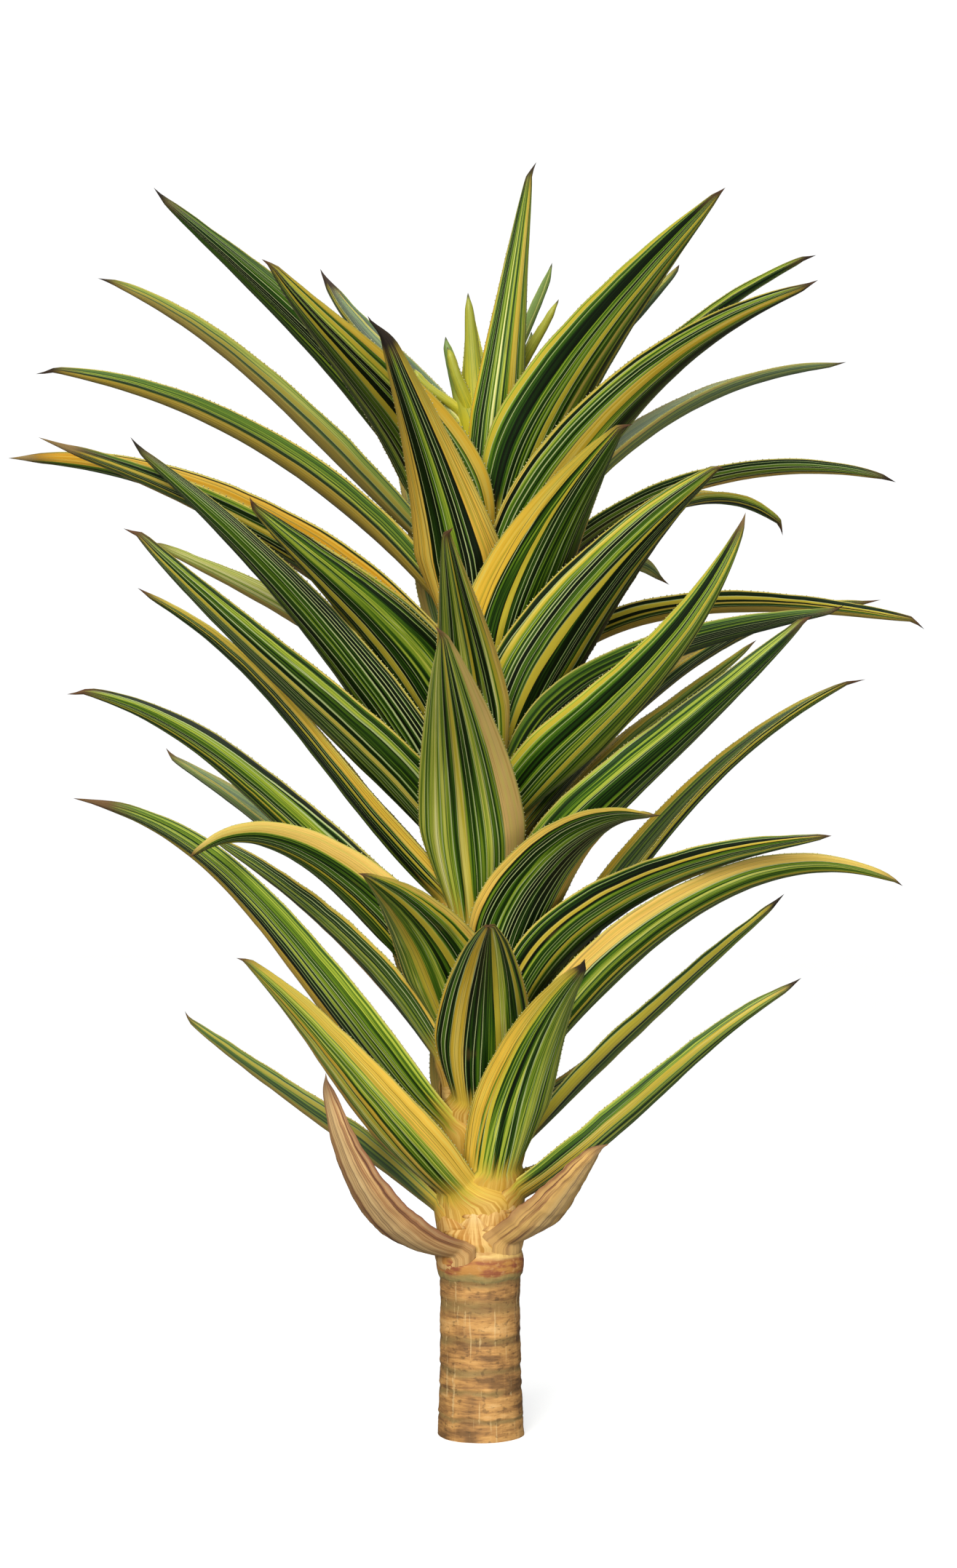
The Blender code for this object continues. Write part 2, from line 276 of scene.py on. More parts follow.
# %% The leaves, row by row from the ground up
LEAVES = {
    "front_low_right": (0, 14, 14, 280, 557, 60, 28, 96, 0.56, 0.22, 0.05, 0.15, 0.1, 0.95, 0.0),
    "left_lowest": (1, 14, -49, 388, 467, 31, 34, 118, 0.48, 0.74, 0.06, 0.1, 0.05, 0.4, 0.5),
    "right_lowest": (2, -5, -43, 366, 519, 26, 28, 88, 0.66, 0.05, 0.30, 0.2, 0.07, 0.9, 0.1),
    "left_low_striped": (3, -6, -50, 341, 562, 34, 37, 112, 0.46, 0.38, 0.24, 0.2, 0.05, 0.5, 0.0),
    "back_low_a": (4, 6, -35, 380, 540, 50, 15, 106, 0.55, 0.10, 0.20, 0.3, 0.05, 0.5, 0.3),
    "left_long_thin": (6, 14, -20, 461, 727, 38, 8, 108, 0.72, 0.55, 0.05, 0.1, 0.12, 0.4, 0.0),
    "right_low_dark_tip": (7, -14, -56, 400, 612, 38, 36, 108, 0.68, 0.03, 0.10, 0.2, 0.1, 1.0, 0.1),
    "front_low": (8, 12, -20, 300, 600, 62, 22, 116, 0.72, 0.08, 0.08, 0.1, 0.05, 0.55, 0.0),
    "back_low_b": (9, -8, -15, 400, 640, 56, 12, 106, 0.60, 0.15, 0.10, 0.2, 0.05, 0.5, 0.2),
    "right_low_spear": (10, 2, -29, 479, 633, 58, -25, 112, 0.70, 0.22, 0.05, 0.45, 0.04, 0.6, 0.0),
    "left_curled": (11, -3, 50, 352, 661, 58, -42, 112, 0.82, 0.10, 0.26, 0.5, 0.05, 0.5, 0.0),
    "back_low_c": (12, 10, 10, 420, 690, 56, 12, 106, 0.50, 0.25, 0.10, 0.5, 0.05, 0.3, 0.3),
    "front_right_low": (13, 10, 51, 337, 710, 68, -6, 114, 0.86, 0.13, 0.30, 0.35, 0.04, 0.6, 0.0),
    "left_low_pale": (14, 14, -52, 324, 685, 52, 30, 118, 0.70, 0.60, 0.08, 0.2, 0.06, 0.4, 0.1),
    "right_low_pale": (15, 5, -62, 500, 875, 57, 22, 92, 0.70, 0.06, 0.16, 0.0, 0.07, 0.6, 0.0),
    "front_left_low": (16, 7, -62, 314, 651, 63, 18, 118, 0.60, 0.08, 0.13, 0.3, 0.05, 0.6, 0.0),
    "back_mid_a": (17, -12, -32, 430, 780, 48, 12, 106, 0.65, 0.12, 0.18, 0.2, 0.05, 0.5, 0.2),
    "right_low_broad": (18, 12, -55, 416, 688, 60, 8, 118, 0.82, 0.06, 0.12, 0.2, 0.05, 0.7, 0.0),
    "left_mid_red_tip": (19, 2, -2, 468, 851, 29, 10, 106, 0.80, 0.12, 0.05, 0.2, 0.08, 0.5, 0.0),
    "right_back_mid": (20, -14, 69, 419, 921, 52, 35, 104, 0.50, 0.10, 0.30, 0.2, 0.06, 0.4, 0.1),
    "front_mid_broad": (21, -8, 8, 400, 900, 66, 34, 126, 0.44, 0.05, 0.26, 0.8, 0.05, 0.5, 0.0),
    "left_back_mid": (22, 14, -72, 454, 783, 33, 26, 104, 0.42, 0.14, 0.08, 0.2, 0.06, 0.4, 0.8),
    "right_mid_olive": (23, -14, 5, 382, 935, 46, 46, 112, 0.82, 0.05, 0.10, 0.3, 0.06, 0.5, 0.0),
    "left_front_mid": (24, -12, 50, 429, 1026, 47, 46, 126, 0.76, 0.10, 0.06, 0.1, 0.07, 0.5, 0.0),
    "front_right_mid": (26, 14, 54, 373, 1031, 40, 66, 104, 0.66, 0.06, 0.08, 0.2, 0.07, 0.3, 0.0),
    "left_mid": (27, 14, -50, 392, 966, 42, 26, 128, 0.84, 0.10, 0.15, 0.15, 0.06, 0.5, 0.0),
    "right_mid_long": (28, -10, 0, 508, 962, 50, 0, 104, 0.66, 0.08, 0.60, 0.2, 0.06, 0.5, 0.1),
    "front_mid_narrow": (29, 12, 50, 380, 1006, 66, 34, 88, 0.66, 0.10, 0.14, 0.4, 0.07, 0.5, 0.0),
    "back_mid_b": (30, -2, -12, 420, 1000, 62, 15, 106, 0.45, 0.22, 0.12, 0.2, 0.05, 0.5, 0.3),
    "right_mid_dark": (31, 14, 31, 412, 940, 63, 10, 110, 0.90, 0.05, 0.08, 0.2, 0.05, 0.7, 0.1),
    "left_mid_dark_tip": (32, 5, -37, 420, 1115, 58, 38, 116, 0.88, 0.10, 0.05, 0.2, 0.06, 1.0, 0.0),
    "right_back_drooping": (33, -3, 27, 465, 1002, 66, -24, 104, 0.30, 0.10, 0.20, 0.3, 0.06, 0.4, 0.4),
    "front_right_yellow": (34, 14, 94, 314, 1125, 66, 32, 118, 0.93, 0.25, 0.10, 0.1, 0.06, 0.6, 0.0),
    "left_back_pale": (35, 5, 22, 454, 1040, 42, 24, 104, 0.12, 0.72, 0.05, 0.3, 0.06, 0.4, 0.3),
    "right_arching": (36, -3, 35, 524, 933, 63, -8, 108, 0.82, 0.06, 0.76, 0.3, 0.06, 0.6, 0.0),
    "left_front_dark": (37, -5, -26, 364, 1042, 60, 34, 104, 0.88, 0.06, 0.05, 0.1, 0.06, 0.6, 0.0),
    "back_high_a": (38, 8, 8, 420, 1120, 52, 12, 102, 0.60, 0.20, 0.10, 0.2, 0.05, 0.5, 0.2),
    "right_front_dark": (39, 2, -42, 342, 1087, 58, 30, 128, 0.93, 0.06, 0.06, 0.1, 0.05, 0.5, 0.0),
    "left_golden_long": (40, -12, 52, 575, 1129, 36, 0, 110, 0.88, 0.05, 0.06, 0.3, 0.1, 0.1, 0.0),
    "right_back_arching": (41, -7, 12, 469, 1059, 68, -34, 104, 0.70, 0.08, 0.14, 0.2, 0.06, 0.5, 0.0),
    "front_high_peach": (42, -14, 32, 330, 1232, 70, 40, 108, 0.98, 0.33, 0.28, 0.2, 0.16, 1.0, 0.0),
    "back_high_b": (43, -20, -33, 400, 1200, 54, 25, 104, 0.50, 0.12, 0.20, 0.4, 0.05, 0.5, 0.2),
    "right_high_arching": (44, 14, 8, 484, 1094, 72, -15, 112, 0.84, 0.05, 0.70, 0.4, 0.07, 0.9, 0.0),
    "left_broken_tip": (45, -14, -42, 505, 1118, 38, 16, 110, 0.82, 0.55, 0.06, 0.2, 0.12, 0.2, 0.0),
    "back_high_c": (46, 11, 15, 400, 1260, 68, 28, 102, 0.55, 0.15, 0.15, 0.2, 0.05, 0.5, 0.3),
    "right_high_front": (47, 18, 0, 483, 1256, 66, 8, 106, 0.88, 0.07, 0.14, 0.2, 0.06, 0.8, 0.0),
    "left_high_edge_on": (48, 12, -4, 525, 1231, 48, 8, 98, 0.62, 0.05, 0.06, 0.15, 0.08, 0.9, 0.2),
    "right_high_pale": (49, 4, 8, 496, 1257, 57, 6, 94, 0.42, 0.10, 0.10, 0.2, 0.05, 0.8, 0.9),
    "left_front_high": (50, -8, 0, 403, 1282, 80, 36, 112, 0.84, 0.08, 0.16, 0.1, 0.05, 0.6, 0.0),
    "left_back_high_thin": (51, 14, 76, 388, 1397, 66, 50, 92, 0.92, 0.05, 0.05, 0.1, 0.14, 0.9, 0.3),
    "right_front_high": (52, -14, 28, 359, 1375, 66, 37, 112, 0.78, 0.05, 0.10, 0.2, 0.06, 0.7, 0.0),
    "left_high_broad": (53, -5, 15, 371, 1412, 63, 42, 100, 0.92, 0.08, 0.05, 0.2, 0.06, 1.0, 0.0),
    "right_back_high": (54, -14, 14, 327, 1381, 68, 45, 92, 0.74, 0.08, 0.08, 0.1, 0.06, 0.6, 0.6),
    "front_upright": (55, 14, 22, 150, 1421, 76, 68, 66, 0.58, 0.10, 0.05, 0.0, 0.06, 0.9, 0.0),
    "left_back_high_broad": (56, 14, -64, 517, 1364, 37, 22, 114, 0.56, 0.05, 0.05, 0.2, 0.06, 0.9, 0.5),
    "right_top_thin": (57, 14, -68, 415, 1374, 60, 26, 88, 0.80, 0.05, 0.30, 0.3, 0.07, 0.9, 0.0),
}
# Some have a broad yellow band inside the blade, in shares again: its place across and half its breadth,
# how much darker the stripes get from the left margin to the right one, which is partly the blade's own tone
# and partly painted light and shade on its two flanks, and how orange the band is.
INNER_BANDS = {
    "front_low_right": (-0.60, 0.03, -0.42, 0.6), "right_lowest": (-0.62, 0.09, 0.0, 0.3),
    "left_low_striped": (0.12, 0.06, 0.0, 0.5), "front_low": (-0.48, 0.14, -0.30, 0.5),
    "front_left_low": (-0.30, 0.07, 0.22, 0.3), "front_mid_broad": (-0.12, 0.08, 0.30, 0.1),
    "left_front_mid": (0.30, 0.05, 0.0, 0.2), "right_arching": (-0.62, 0.04, 0.0, 0.4),
    "left_golden_long": (0.60, 0.34, 0.0, 0.9), "right_high_arching": (0.0, 0.0, -0.1, 0.0),
    "left_broken_tip": (0.58, 0.08, 0.0, 0.3), "right_high_front": (-0.34, 0.13, 0.0, 0.5),
    "right_front_high": (0.22, 0.05, 0.0, 0.3), "front_upright": (0.24, 0.12, 0.0, 0.4),
    "right_front_dark": (-0.82, 0.05, 0.0, 0.2), "right_low_broad": (-0.70, 0.05, 0.0, 0.3),
    "left_back_high_broad": (0.12, 0.44, 0.0, 0.6), "left_high_edge_on": (0.22, 0.30, 0.0, 0.5),
}
# Leaves roll a little round their midrib, and these by this share of the rest's roll.
ROLL = 24.0
ROLL_SHARES = {
    "right_low_pale": 0.0, "back_low_b": 0.0, "left_low_pale": 0.7, "left_mid": 0.0, "left_front_mid": 0.3,
    "right_mid_long": 0.1, "right_mid_dark": 0.6, "left_mid_dark_tip": 0.3, "right_arching": 0.2,
    "left_broken_tip": 0.3, "right_back_arching": -0.4, "right_high_arching": 0.0, "right_high_front": 0.5,
    "right_high_pale": 0.0, "right_top_thin": 0.4, "left_low_striped": 0.5, "left_back_mid": 0.2,
    "right_back_drooping": 0.5, "left_high_edge_on": 0.6, "back_high_c": 0.0, "right_low_broad": 0.7,
    "front_right_low": 0.6,
}
print(len(LEAVES), "leaves in the table")

# %% [markdown]
# A leaf's foot clasps the stem. The solid's foot has flat facets, and it is moved out until they clear the
# round stem, so the same sum is done here. The heart, the withered leaves and the old bases are made as
# leaves are, so all of them take the same inputs for the middle line and the foot.

# %% Where a leaf starts, and the four points of its middle line
GAP = 0.0003
FOOT_WRAP = 53.0
FOOT_HUG = 0.94
SEATING_ROUNDS = 5
SPOTS_A_FACET = 8
FOOT_PULL = 0.34
TIP_PULL = 0.36
MIDRIB = ("Foot", "Foot Pull", "Tip Pull", "Tip")


def clasping_radius(foot, slope):
    """How far from the axis the leaf's inner face starts."""
    wrap, lean = math.radians(FOOT_WRAP), math.radians(slope)
    radius = stem_radius(foot) + GAP
    for _ in range(SEATING_ROUNDS):
        channel = FOOT_HUG * radius
        corners = []
        for share in (0.0, 0.5, 1.0):
            rise = channel * (1 - math.cos(wrap * share))
            out, up = radius - math.sin(lean) * rise, math.cos(lean) * rise
            corners.append(np.array((out, channel * math.sin(wrap * share), up)))
        clear = min(
            math.hypot(*spot[:2]) - stem_radius(foot + spot[2])
            for low, high in zip(corners, corners[1:])
            for spot in (low + (high - low) * step / SPOTS_A_FACET for step in range(SPOTS_A_FACET + 1))
        )
        radius += GAP - clear
    return radius


def midrib_sizes(start, end, slopes):
    """The four points of the middle line's curve, each a distance from the axis and a height."""
    chord, sizes = math.dist(start, end), {}
    for at, (way, turn) in enumerate((("Radius", math.cos), ("Height", math.sin))):
        first, last = (turn(math.radians(slope)) for slope in slopes)
        foot, tip = start[at], end[at]
        line = (foot, foot + FOOT_PULL * chord * first, tip - TIP_PULL * chord * last, tip)
        sizes.update({f"{point} {way}": place for point, place in zip(MIDRIB, line)})
    return sizes


def leaf_like(start, end, slopes, heading, width, wrap, others):
    """The inputs of the leaf's tree; what isn't among them stays 0."""
    inputs = midrib_sizes(start, end, slopes)
    inputs.update({
        "Heading": math.radians(heading % 360), "Width": width, "Foot Wrap": math.radians(wrap),
        "Foot Width": 2 * math.radians(wrap) * FOOT_HUG * start[0],
    })
    inputs.update(others)
    return inputs


print("the lowest foot starts", round(clasping_radius(0.264, 36), 4), "m from the axis")

# %% [markdown]
# ## The skin of a leaf
# The leaf is variegated: sharp stripes of dark green, mid green and pale yellow run along it and draw
# together at the tip. A painted image could hold them, but stripes that follow the blade need only two
# numbers at each point, how far across and how far along it lies. The mesh stores both, and a cell pattern in
# one dimension deals out the stripes.

# %% The stripes
STRIPES = 10.0
BROAD_STRIPES = 2.9
# The cell node has a scale of 5, so one of its cells is this wide.
CELL = 0.2
GREENS = (
    (0.00, "0a1503"), (0.20, "172e07"), (0.34, "315211"), (0.46, "547518"),
    (0.58, "869e2b"), (0.72, "b6c043"), (0.86, "d8d766"), (1.00, "efeca0"),
)


def striped(coat, blade, tone, slant):
    """The green part of the blade, the mask of its thin lines, and a height for its relief."""
    across, seed, along = blade
    wander = coat.noise((along, seed, across), (2.2, 1.0, 0.8), 1.0) - 0.5
    crowd = coat.noise(blade, (1.6, 6.0, 0.5), 1.0) - 0.5
    place = (across * STRIPES + crowd * 6.0 + wander * 0.5 + seed * 17.0) * CELL
    drawn, second, third = coat.split("Color", coat.cells(place, "F1", "Color"))
    edge = coat.cells(place, "DISTANCE_TO_EDGE", "Distance")
    wide = (across * BROAD_STRIPES + wander * 0.25 + seed * 5.0) * CELL
    broad = coat.split("Color", coat.cells(wide, "F1", "Color"))[0]
    fine = coat.noise(blade, (24.0, 5.0, 1.2), 2.0, 0.6)
    middling = coat.noise(blade, (13.0, 8.0, 0.9), 1.0)
    level = (drawn - 0.5) * 0.52 + (broad - 0.5) * 0.36 + (1.0 - tone) * 0.70 + 0.19
    # The last term makes one flank lighter and the other darker: partly the blade's own tone, partly painted
    # light and shade.
    level = level + (coat.ease(fine, 0.36, 0.62) - 0.5) * 0.36 + (middling - 0.5) * 0.6 - across * slant

    fresh = coat.ease(coat.noise((seed, 0.5, across), (3.7, 1.0, 0.5), 0.0), 0.42, 0.58)
    fresh = fresh * coat.ease(level, 0.66, 0.40)
    thread = (1.0 - coat.ease(edge, 0.07, 0.14)) * coat.ease(second, 0.46, 0.52)
    golden = coat.ease(third, 0.90, 0.91) * coat.ease(tone, 0.97, 0.93) * 0.85
    greens = coat.layered(
        coat.blend(fresh * 0.5, coat.ramp(level, *GREENS), "cdf2c4", "MULTIPLY"),
        (thread * 0.78, coat.blend(coat.ease(level, 0.48, 0.66), "ccd994", "4c6418")),
        (golden, "d8c23c"),
    )
    return greens, thread, fine * 0.7 + coat.ease(edge, 0.0, 0.25) * 0.3


print(len(GREENS), "greens in the ramp")

# %% [markdown]
# A golden or peach band lies along a margin, and some blades have a lemon or orange one inside. Both are laid
# over the stripes through masks whose edges fray, because a noise stretched along the blade moves them.

# %% The bands
def gold_band(coat, along, peach, streaks, thread, grain):
    return coat.layered(
        coat.blend(peach, "f2c22e", "f8d088"),
        (coat.ease(streaks, 0.52, 0.62) * 0.5, "eedb6c"),
        (coat.ease(streaks, 0.46, 0.38) * 0.4, "c99f2a"),
        (thread * (0.8 - peach * 0.55), "4d4414"),
        (coat.ease(grain, 0.66, 0.74) * (0.5 - peach * 0.4), "7c8a2c"),
        (coat.ease(along, 0.40, 1.0) * (0.55 - peach * 0.4), "9aa03c"),
    )


def lemon_band(coat, orange, streaks, thread):
    return coat.layered(
        coat.blend(orange, "cfc23e", "d99a1e"),
        (coat.ease(streaks, 0.42, 0.60) * 0.7, coat.blend(orange, "ebe07c", "ecc04a")),
        (thread * 0.6, "59561a"),
    )


print("two kinds of band")

# %% [markdown]
# The base is yellow where no light reaches it, and below it the blade goes on as a cream sheath. The tip has
# dried brown behind a rusty edge, and is dull where the living blade has a faint shine.

# %% The leaf's whole skin
MARGIN_RIM = 0.045
SHINE = 0.24


def leaf_skin():
    coat = Finish("leaf skin")
    across, along, seed, outer = coat.stored("across", "along", "seed", "outer")
    tone, minus, plus, peach = coat.stored("tone", "minus band", "plus band", "peach")
    dried, dark_tip, bloom, slant = coat.stored("dry from", "dark tip", "bloom", "slant")
    inner_at, inner_half, orange = coat.stored("inner at", "inner half", "orange")
    blade = (across, seed, along)
    greens, thread, grain = striped(coat, blade, tone, slant)
    streaks = coat.noise(blade, (16.0, 3.0, 2.0), 3.0, 0.6)
    patches = coat.noise(blade, (1.5, 9.0, 5.0))
    ragged = streaks - 0.5

    fray = ragged * 0.08
    near_plus = coat.ease(across + fray + (plus - MARGIN_RIM) * 2.0, 0.99, 1.01)
    near_minus = coat.ease((minus - MARGIN_RIM) * 2.0 - across + fray, 0.99, 1.01)
    from_inner = abs(across - inner_at) + fray * 0.5
    in_inner = 1.0 - coat.ease(from_inner - inner_half, -0.02, 0.0)
    base = coat.ease(along + ragged * 0.26 + (patches - 0.5) * 0.05, 0.07, -0.02)
    cream = coat.layered(
        "c08e38", (coat.ease(streaks, 0.40, 0.60), "eac26a"), (coat.ease(patches, 0.42, 0.58) * 0.5, "dfb03e")
    )
    gold = gold_band(coat, along, peach, streaks, thread, grain)
    edging = coat.blend(coat.ease(along, 0.0, -0.01), "c4bc5a", "8f6a26")
    tips = coat.ramp(dark_tip + ragged * 0.5, (0.0, "a8905c"), (0.5, "64412c"), (1.0, "2b2523"))
    rust = coat.ease(along + ragged * 0.10, dried - 0.05, dried + 0.02)
    dry = coat.ease(along + ragged * 0.04, dried, dried + 0.03)
    colour = coat.layered(
        greens,
        (coat.math("MAXIMUM", near_plus, near_minus) * 0.96, gold),
        (in_inner * coat.ease(inner_half, 0.01, 0.02) * 0.93, lemon_band(coat, orange, streaks, thread)),
        (coat.math("MINIMUM", bloom * 0.60 + (1.0 - outer) * 0.16, 0.7), "73886a"),
        (base * 0.75, "d6b440"),
        (coat.ease(along + fray, 0.0, -0.03) * 0.92, cream),
        (coat.ease(abs(across), 0.955, 0.985) * 0.75, edging),
        (coat.ease(patches + ragged * 0.5, 0.70, 0.80) * 0.30, "6f5a2c"),
        (rust * 0.6, "6b522c"),
        (dry * 0.95, tips),
    )
    coat.shader.inputs["Specular IOR Level"].default_value = SHINE
    return coat.done(colour, 0.48 + (patches - 0.5) * 0.16 + dry * 0.32, grain + dry * streaks * 2.0, 0.0006)


LEAF_SKIN = leaf_skin()

# %% [markdown]
# The teeth on the margins are hooks of pale horn, so small that one soft variation along the plant is enough.

# %% The horn of the teeth
def tooth_horn():
    coat = Finish("tooth horn")
    mottle = coat.noise(coat.spot(), (60.0, 60.0, 60.0), 1.0)
    return coat.done(coat.layered("d4d3a0", (coat.ease(mottle, 0.4, 0.6), "b3ae74")), 0.45 + mottle * 0.1)


TOOTH_HORN = tooth_horn()

# %% [markdown]
# ## The leaf's tree
# A leaf is a channelled blade: its section is a shallow trough, thick along the middle and thin at the
# margins. It could be sculpted once and bent fifty-six times, but the bends differ and the rule that made
# the solid is known. So a flat grid is rolled up by that rule: its rows run along the blade, and its columns
# go across the inner face and back across the outer one. Below the foot the grid goes on down the stem as
# the sheath, which is what covers a real aloe's stem inside the crown.

# %% The rule as nodes
QUARTER = math.pi / 2
BLADE_FOLD = math.radians(34.0)
TIP_FOLD = math.radians(50.0)
WIDEST_AT = 0.24
TAPER = 1.4
TIP_WIDTH = 0.007
TIP_ROUNDING = 18.0
HUMP = 0.86
ROLLED_BY = 0.35
WAVES = 7.0
DENTS = 16.0
DRY_SHRINK = 0.55


def curve_of(size, end, t):
    """One coordinate of the middle line and its rate of change."""
    a, b, c, d = (size[f"{point} {end}"] for point in MIDRIB)
    q = 1.0 - t
    place = q * q * q * a + q * q * t * b * 3.0 + q * t * t * c * 3.0 + t * t * t * d
    rate = q * q * (b - a) * 3.0 + q * t * (c - b) * 6.0 + t * t * (d - c) * 3.0
    return place, rate


def leaf_frame(bench, size, t, u):
    """What the blade and its teeth share at t along and u across: the middle line, the fold and the width."""
    radius, radius_rate = curve_of(size, "Radius", t)
    height, height_rate = curve_of(size, "Height", t)
    rate = bench.math("SQRT", radius_rate * radius_rate + height_rate * height_rate)
    early = bench.math("MINIMUM", t, WIDEST_AT) / WIDEST_AT
    late = bench.math("MAXIMUM", t - WIDEST_AT, 0.0) / (1 - WIDEST_AT)
    spread = size["Foot Width"] + (size["Width"] - size["Foot Width"]) * bench.math("SINE", early * QUARTER)
    drawn = TIP_WIDTH + (size["Width"] - TIP_WIDTH) * (1.0 - late ** size["Taper"])
    fold = size["Foot Wrap"] + (BLADE_FOLD - size["Foot Wrap"]) * early
    fold = fold + late * late * (TIP_FOLD - BLADE_FOLD)
    dry = bench.ease(t, size["Dry From"], 1.0)
    close = bench.math("SQRT", bench.math("MAXIMUM", 1.0 - t**TIP_ROUNDING, 0.0))
    slim = (1.0 - dry * DRY_SHRINK) * close
    turned = size["Roll"] * bench.math("SINE", bench.math("MINIMUM", t / ROLLED_BY, 1.0) * QUARTER)
    return {
        "radius": radius, "height": height, "cos": radius_rate / rate, "sin": height_rate / rate,
        "width": (spread + drawn - size["Width"]) * slim, "slim": slim, "fold": fold, "angle": fold * u,
        "dry": dry, "turn": bench.cos_sin(turned),
    }


def to_world(bench, size, outward, sideways, upward):
    """A place or a direction in the leaf's own upright plane, as x, y and z."""
    cos, sin = bench.cos_sin(size["Heading"])
    return bench.vector(outward * cos - sideways * sin, outward * sin + sideways * cos, upward)


print("a blade is widest", WIDEST_AT, "of the way along")

# %% [markdown]
# A point of the skin lies across the channel, and further out by the flesh's thickness on the outer face.
# Noise that fades at the foot waves the margins and dents the face. In the sheath the point is drawn to the
# stem instead.

# %% A point of the leaf's skin
SHEATH_SINK = 0.0015


def leaf_point(bench, size, t, below, u, outer):
    """The place at t along and u across; below is 0 on the blade and 1 at the sheath's bottom."""
    at, seed = leaf_frame(bench, size, t, u), size["Seed"]
    hump = bench.math("POWER", bench.math("MAXIMUM", 1.0 - u * u, 0.0), HUMP)
    thin = bench.math("SQRT", 1.0 - below)
    flesh = size["Foot Thickness"] + (size["Tip Thickness"] - size["Foot Thickness"]) * t
    depth = flesh * at["slim"] * hump * thin * outer
    channel = at["width"] / (at["fold"] * 2.0)
    edge = abs(u)
    wave = bench.noise((t * WAVES + seed * 3.0, u, seed)) - 0.5
    dent = bench.noise((t * DENTS + seed, u, seed), (1.0, 2.2, 2.0)) - 0.5
    away = bench.ease(t, 0.02, 0.25) * at["slim"]
    ruffled = (wave * size["Ruffle"] * edge * edge * edge + dent * size["Crumple"]) * away
    (cos_angle, sin_angle), (cos_turn, sin_turn) = bench.cos_sin(at["angle"]), at["turn"]
    sideways = (channel + depth) * sin_angle
    inward = channel - (channel + depth) * cos_angle + ruffled
    upright = sideways * sin_turn + inward * cos_turn
    side = sideways * cos_turn - inward * sin_turn + at["dry"] * at["dry"] * size["Tip Sway"]
    outward = at["radius"] - at["sin"] * upright
    height = at["height"] + at["cos"] * upright - at["dry"] * at["dry"] * size["Tip Droop"]

    around = bench.math("ARCTAN2", side, outward)
    reach = bench.math("SQRT", side * side + outward * outward)
    hugging = size["Stem Radius"] - SHEATH_SINK + outer * thin * size["Sheath Skin"]
    reach = reach + (hugging - reach) * bench.ease(below, 0.0, 0.85)
    cos, sin = bench.cos_sin(around * (1.0 + bench.ease(below, 0.0, 0.32) * size["Sheath Spread"]))
    return to_world(bench, size, reach * cos, reach * sin, height - below * size["Sheath Length"])


print("a sheath's inner face lies", SHEATH_SINK * 1000, "mm inside the stem")

# %% [markdown]
# The tree has named inputs for every size and look, and each look is also stored on the mesh. The teeth stand
# on points along both margins that follow the same rule, each a small cone turned outwards and a little
# forwards, its size drawn from a fixed seed. They are realised, because an export keeps only real faces.

# %% The tree's inputs
LEAF_LOOKS = (
    "Tone", "Minus Band", "Plus Band", "Peach", "Dry From", "Dark Tip", "Bloom", "Inner At", "Inner Half",
    "Slant", "Orange", "Seed",
)
LEAF_SIZES = tuple(f"{point} {end}" for point in MIDRIB for end in ("Radius", "Height")) + (
    "Heading", "Width", "Foot Width", "Foot Wrap", "Foot Thickness", "Tip Thickness", "Roll", "Taper",
    "Stem Radius", "Sheath Length", "Sheath Spread", "Sheath Skin", "Tip Sway", "Tip Droop", "Ruffle",
    "Crumple", "Tooth Length",
)


def group_tree(name, floats, whole, materials):
    """An empty geometry tree with its inputs: a bench, the inputs as wires, and the tree."""
    tree = bpy.data.node_groups.new(name, "GeometryNodeTree")
    for kind, names in (("Float", floats), ("Int", whole), ("Material", materials)):
        for title in names:
            tree.interface.new_socket(name=title, in_out="INPUT", socket_type="NodeSocket" + kind)
    tree.interface.new_socket(name="Geometry", in_out="OUTPUT", socket_type="NodeSocketGeometry")
    bench = Bench(tree)
    gate = bench.node("NodeGroupInput")
    return bench, {socket.name: Wire(bench, socket) for socket in gate.outputs if socket.name}, tree


print(len(LEAF_SIZES), "sizes and", len(LEAF_LOOKS), "looks")

# %% The teeth of both margins
TEETH_FROM, TEETH_TO = 0.03, 0.93
TOOTH_SIDES = 4
TOOTH_BASE = 0.55
TOOTH_LEAN = 0.55
TOOTH_JITTER = 0.3
TOOTH_GROWTH = (0.7, 1.25)
JITTER_SEED, GROWTH_SEED = 11, 5


def random_number(bench, low, high, index, seed):
    values = {2: low, 3: high, "ID": index, "Seed": seed}
    return bench.make("FunctionNodeRandomValue", {"data_type": "FLOAT"}, values, out=1)


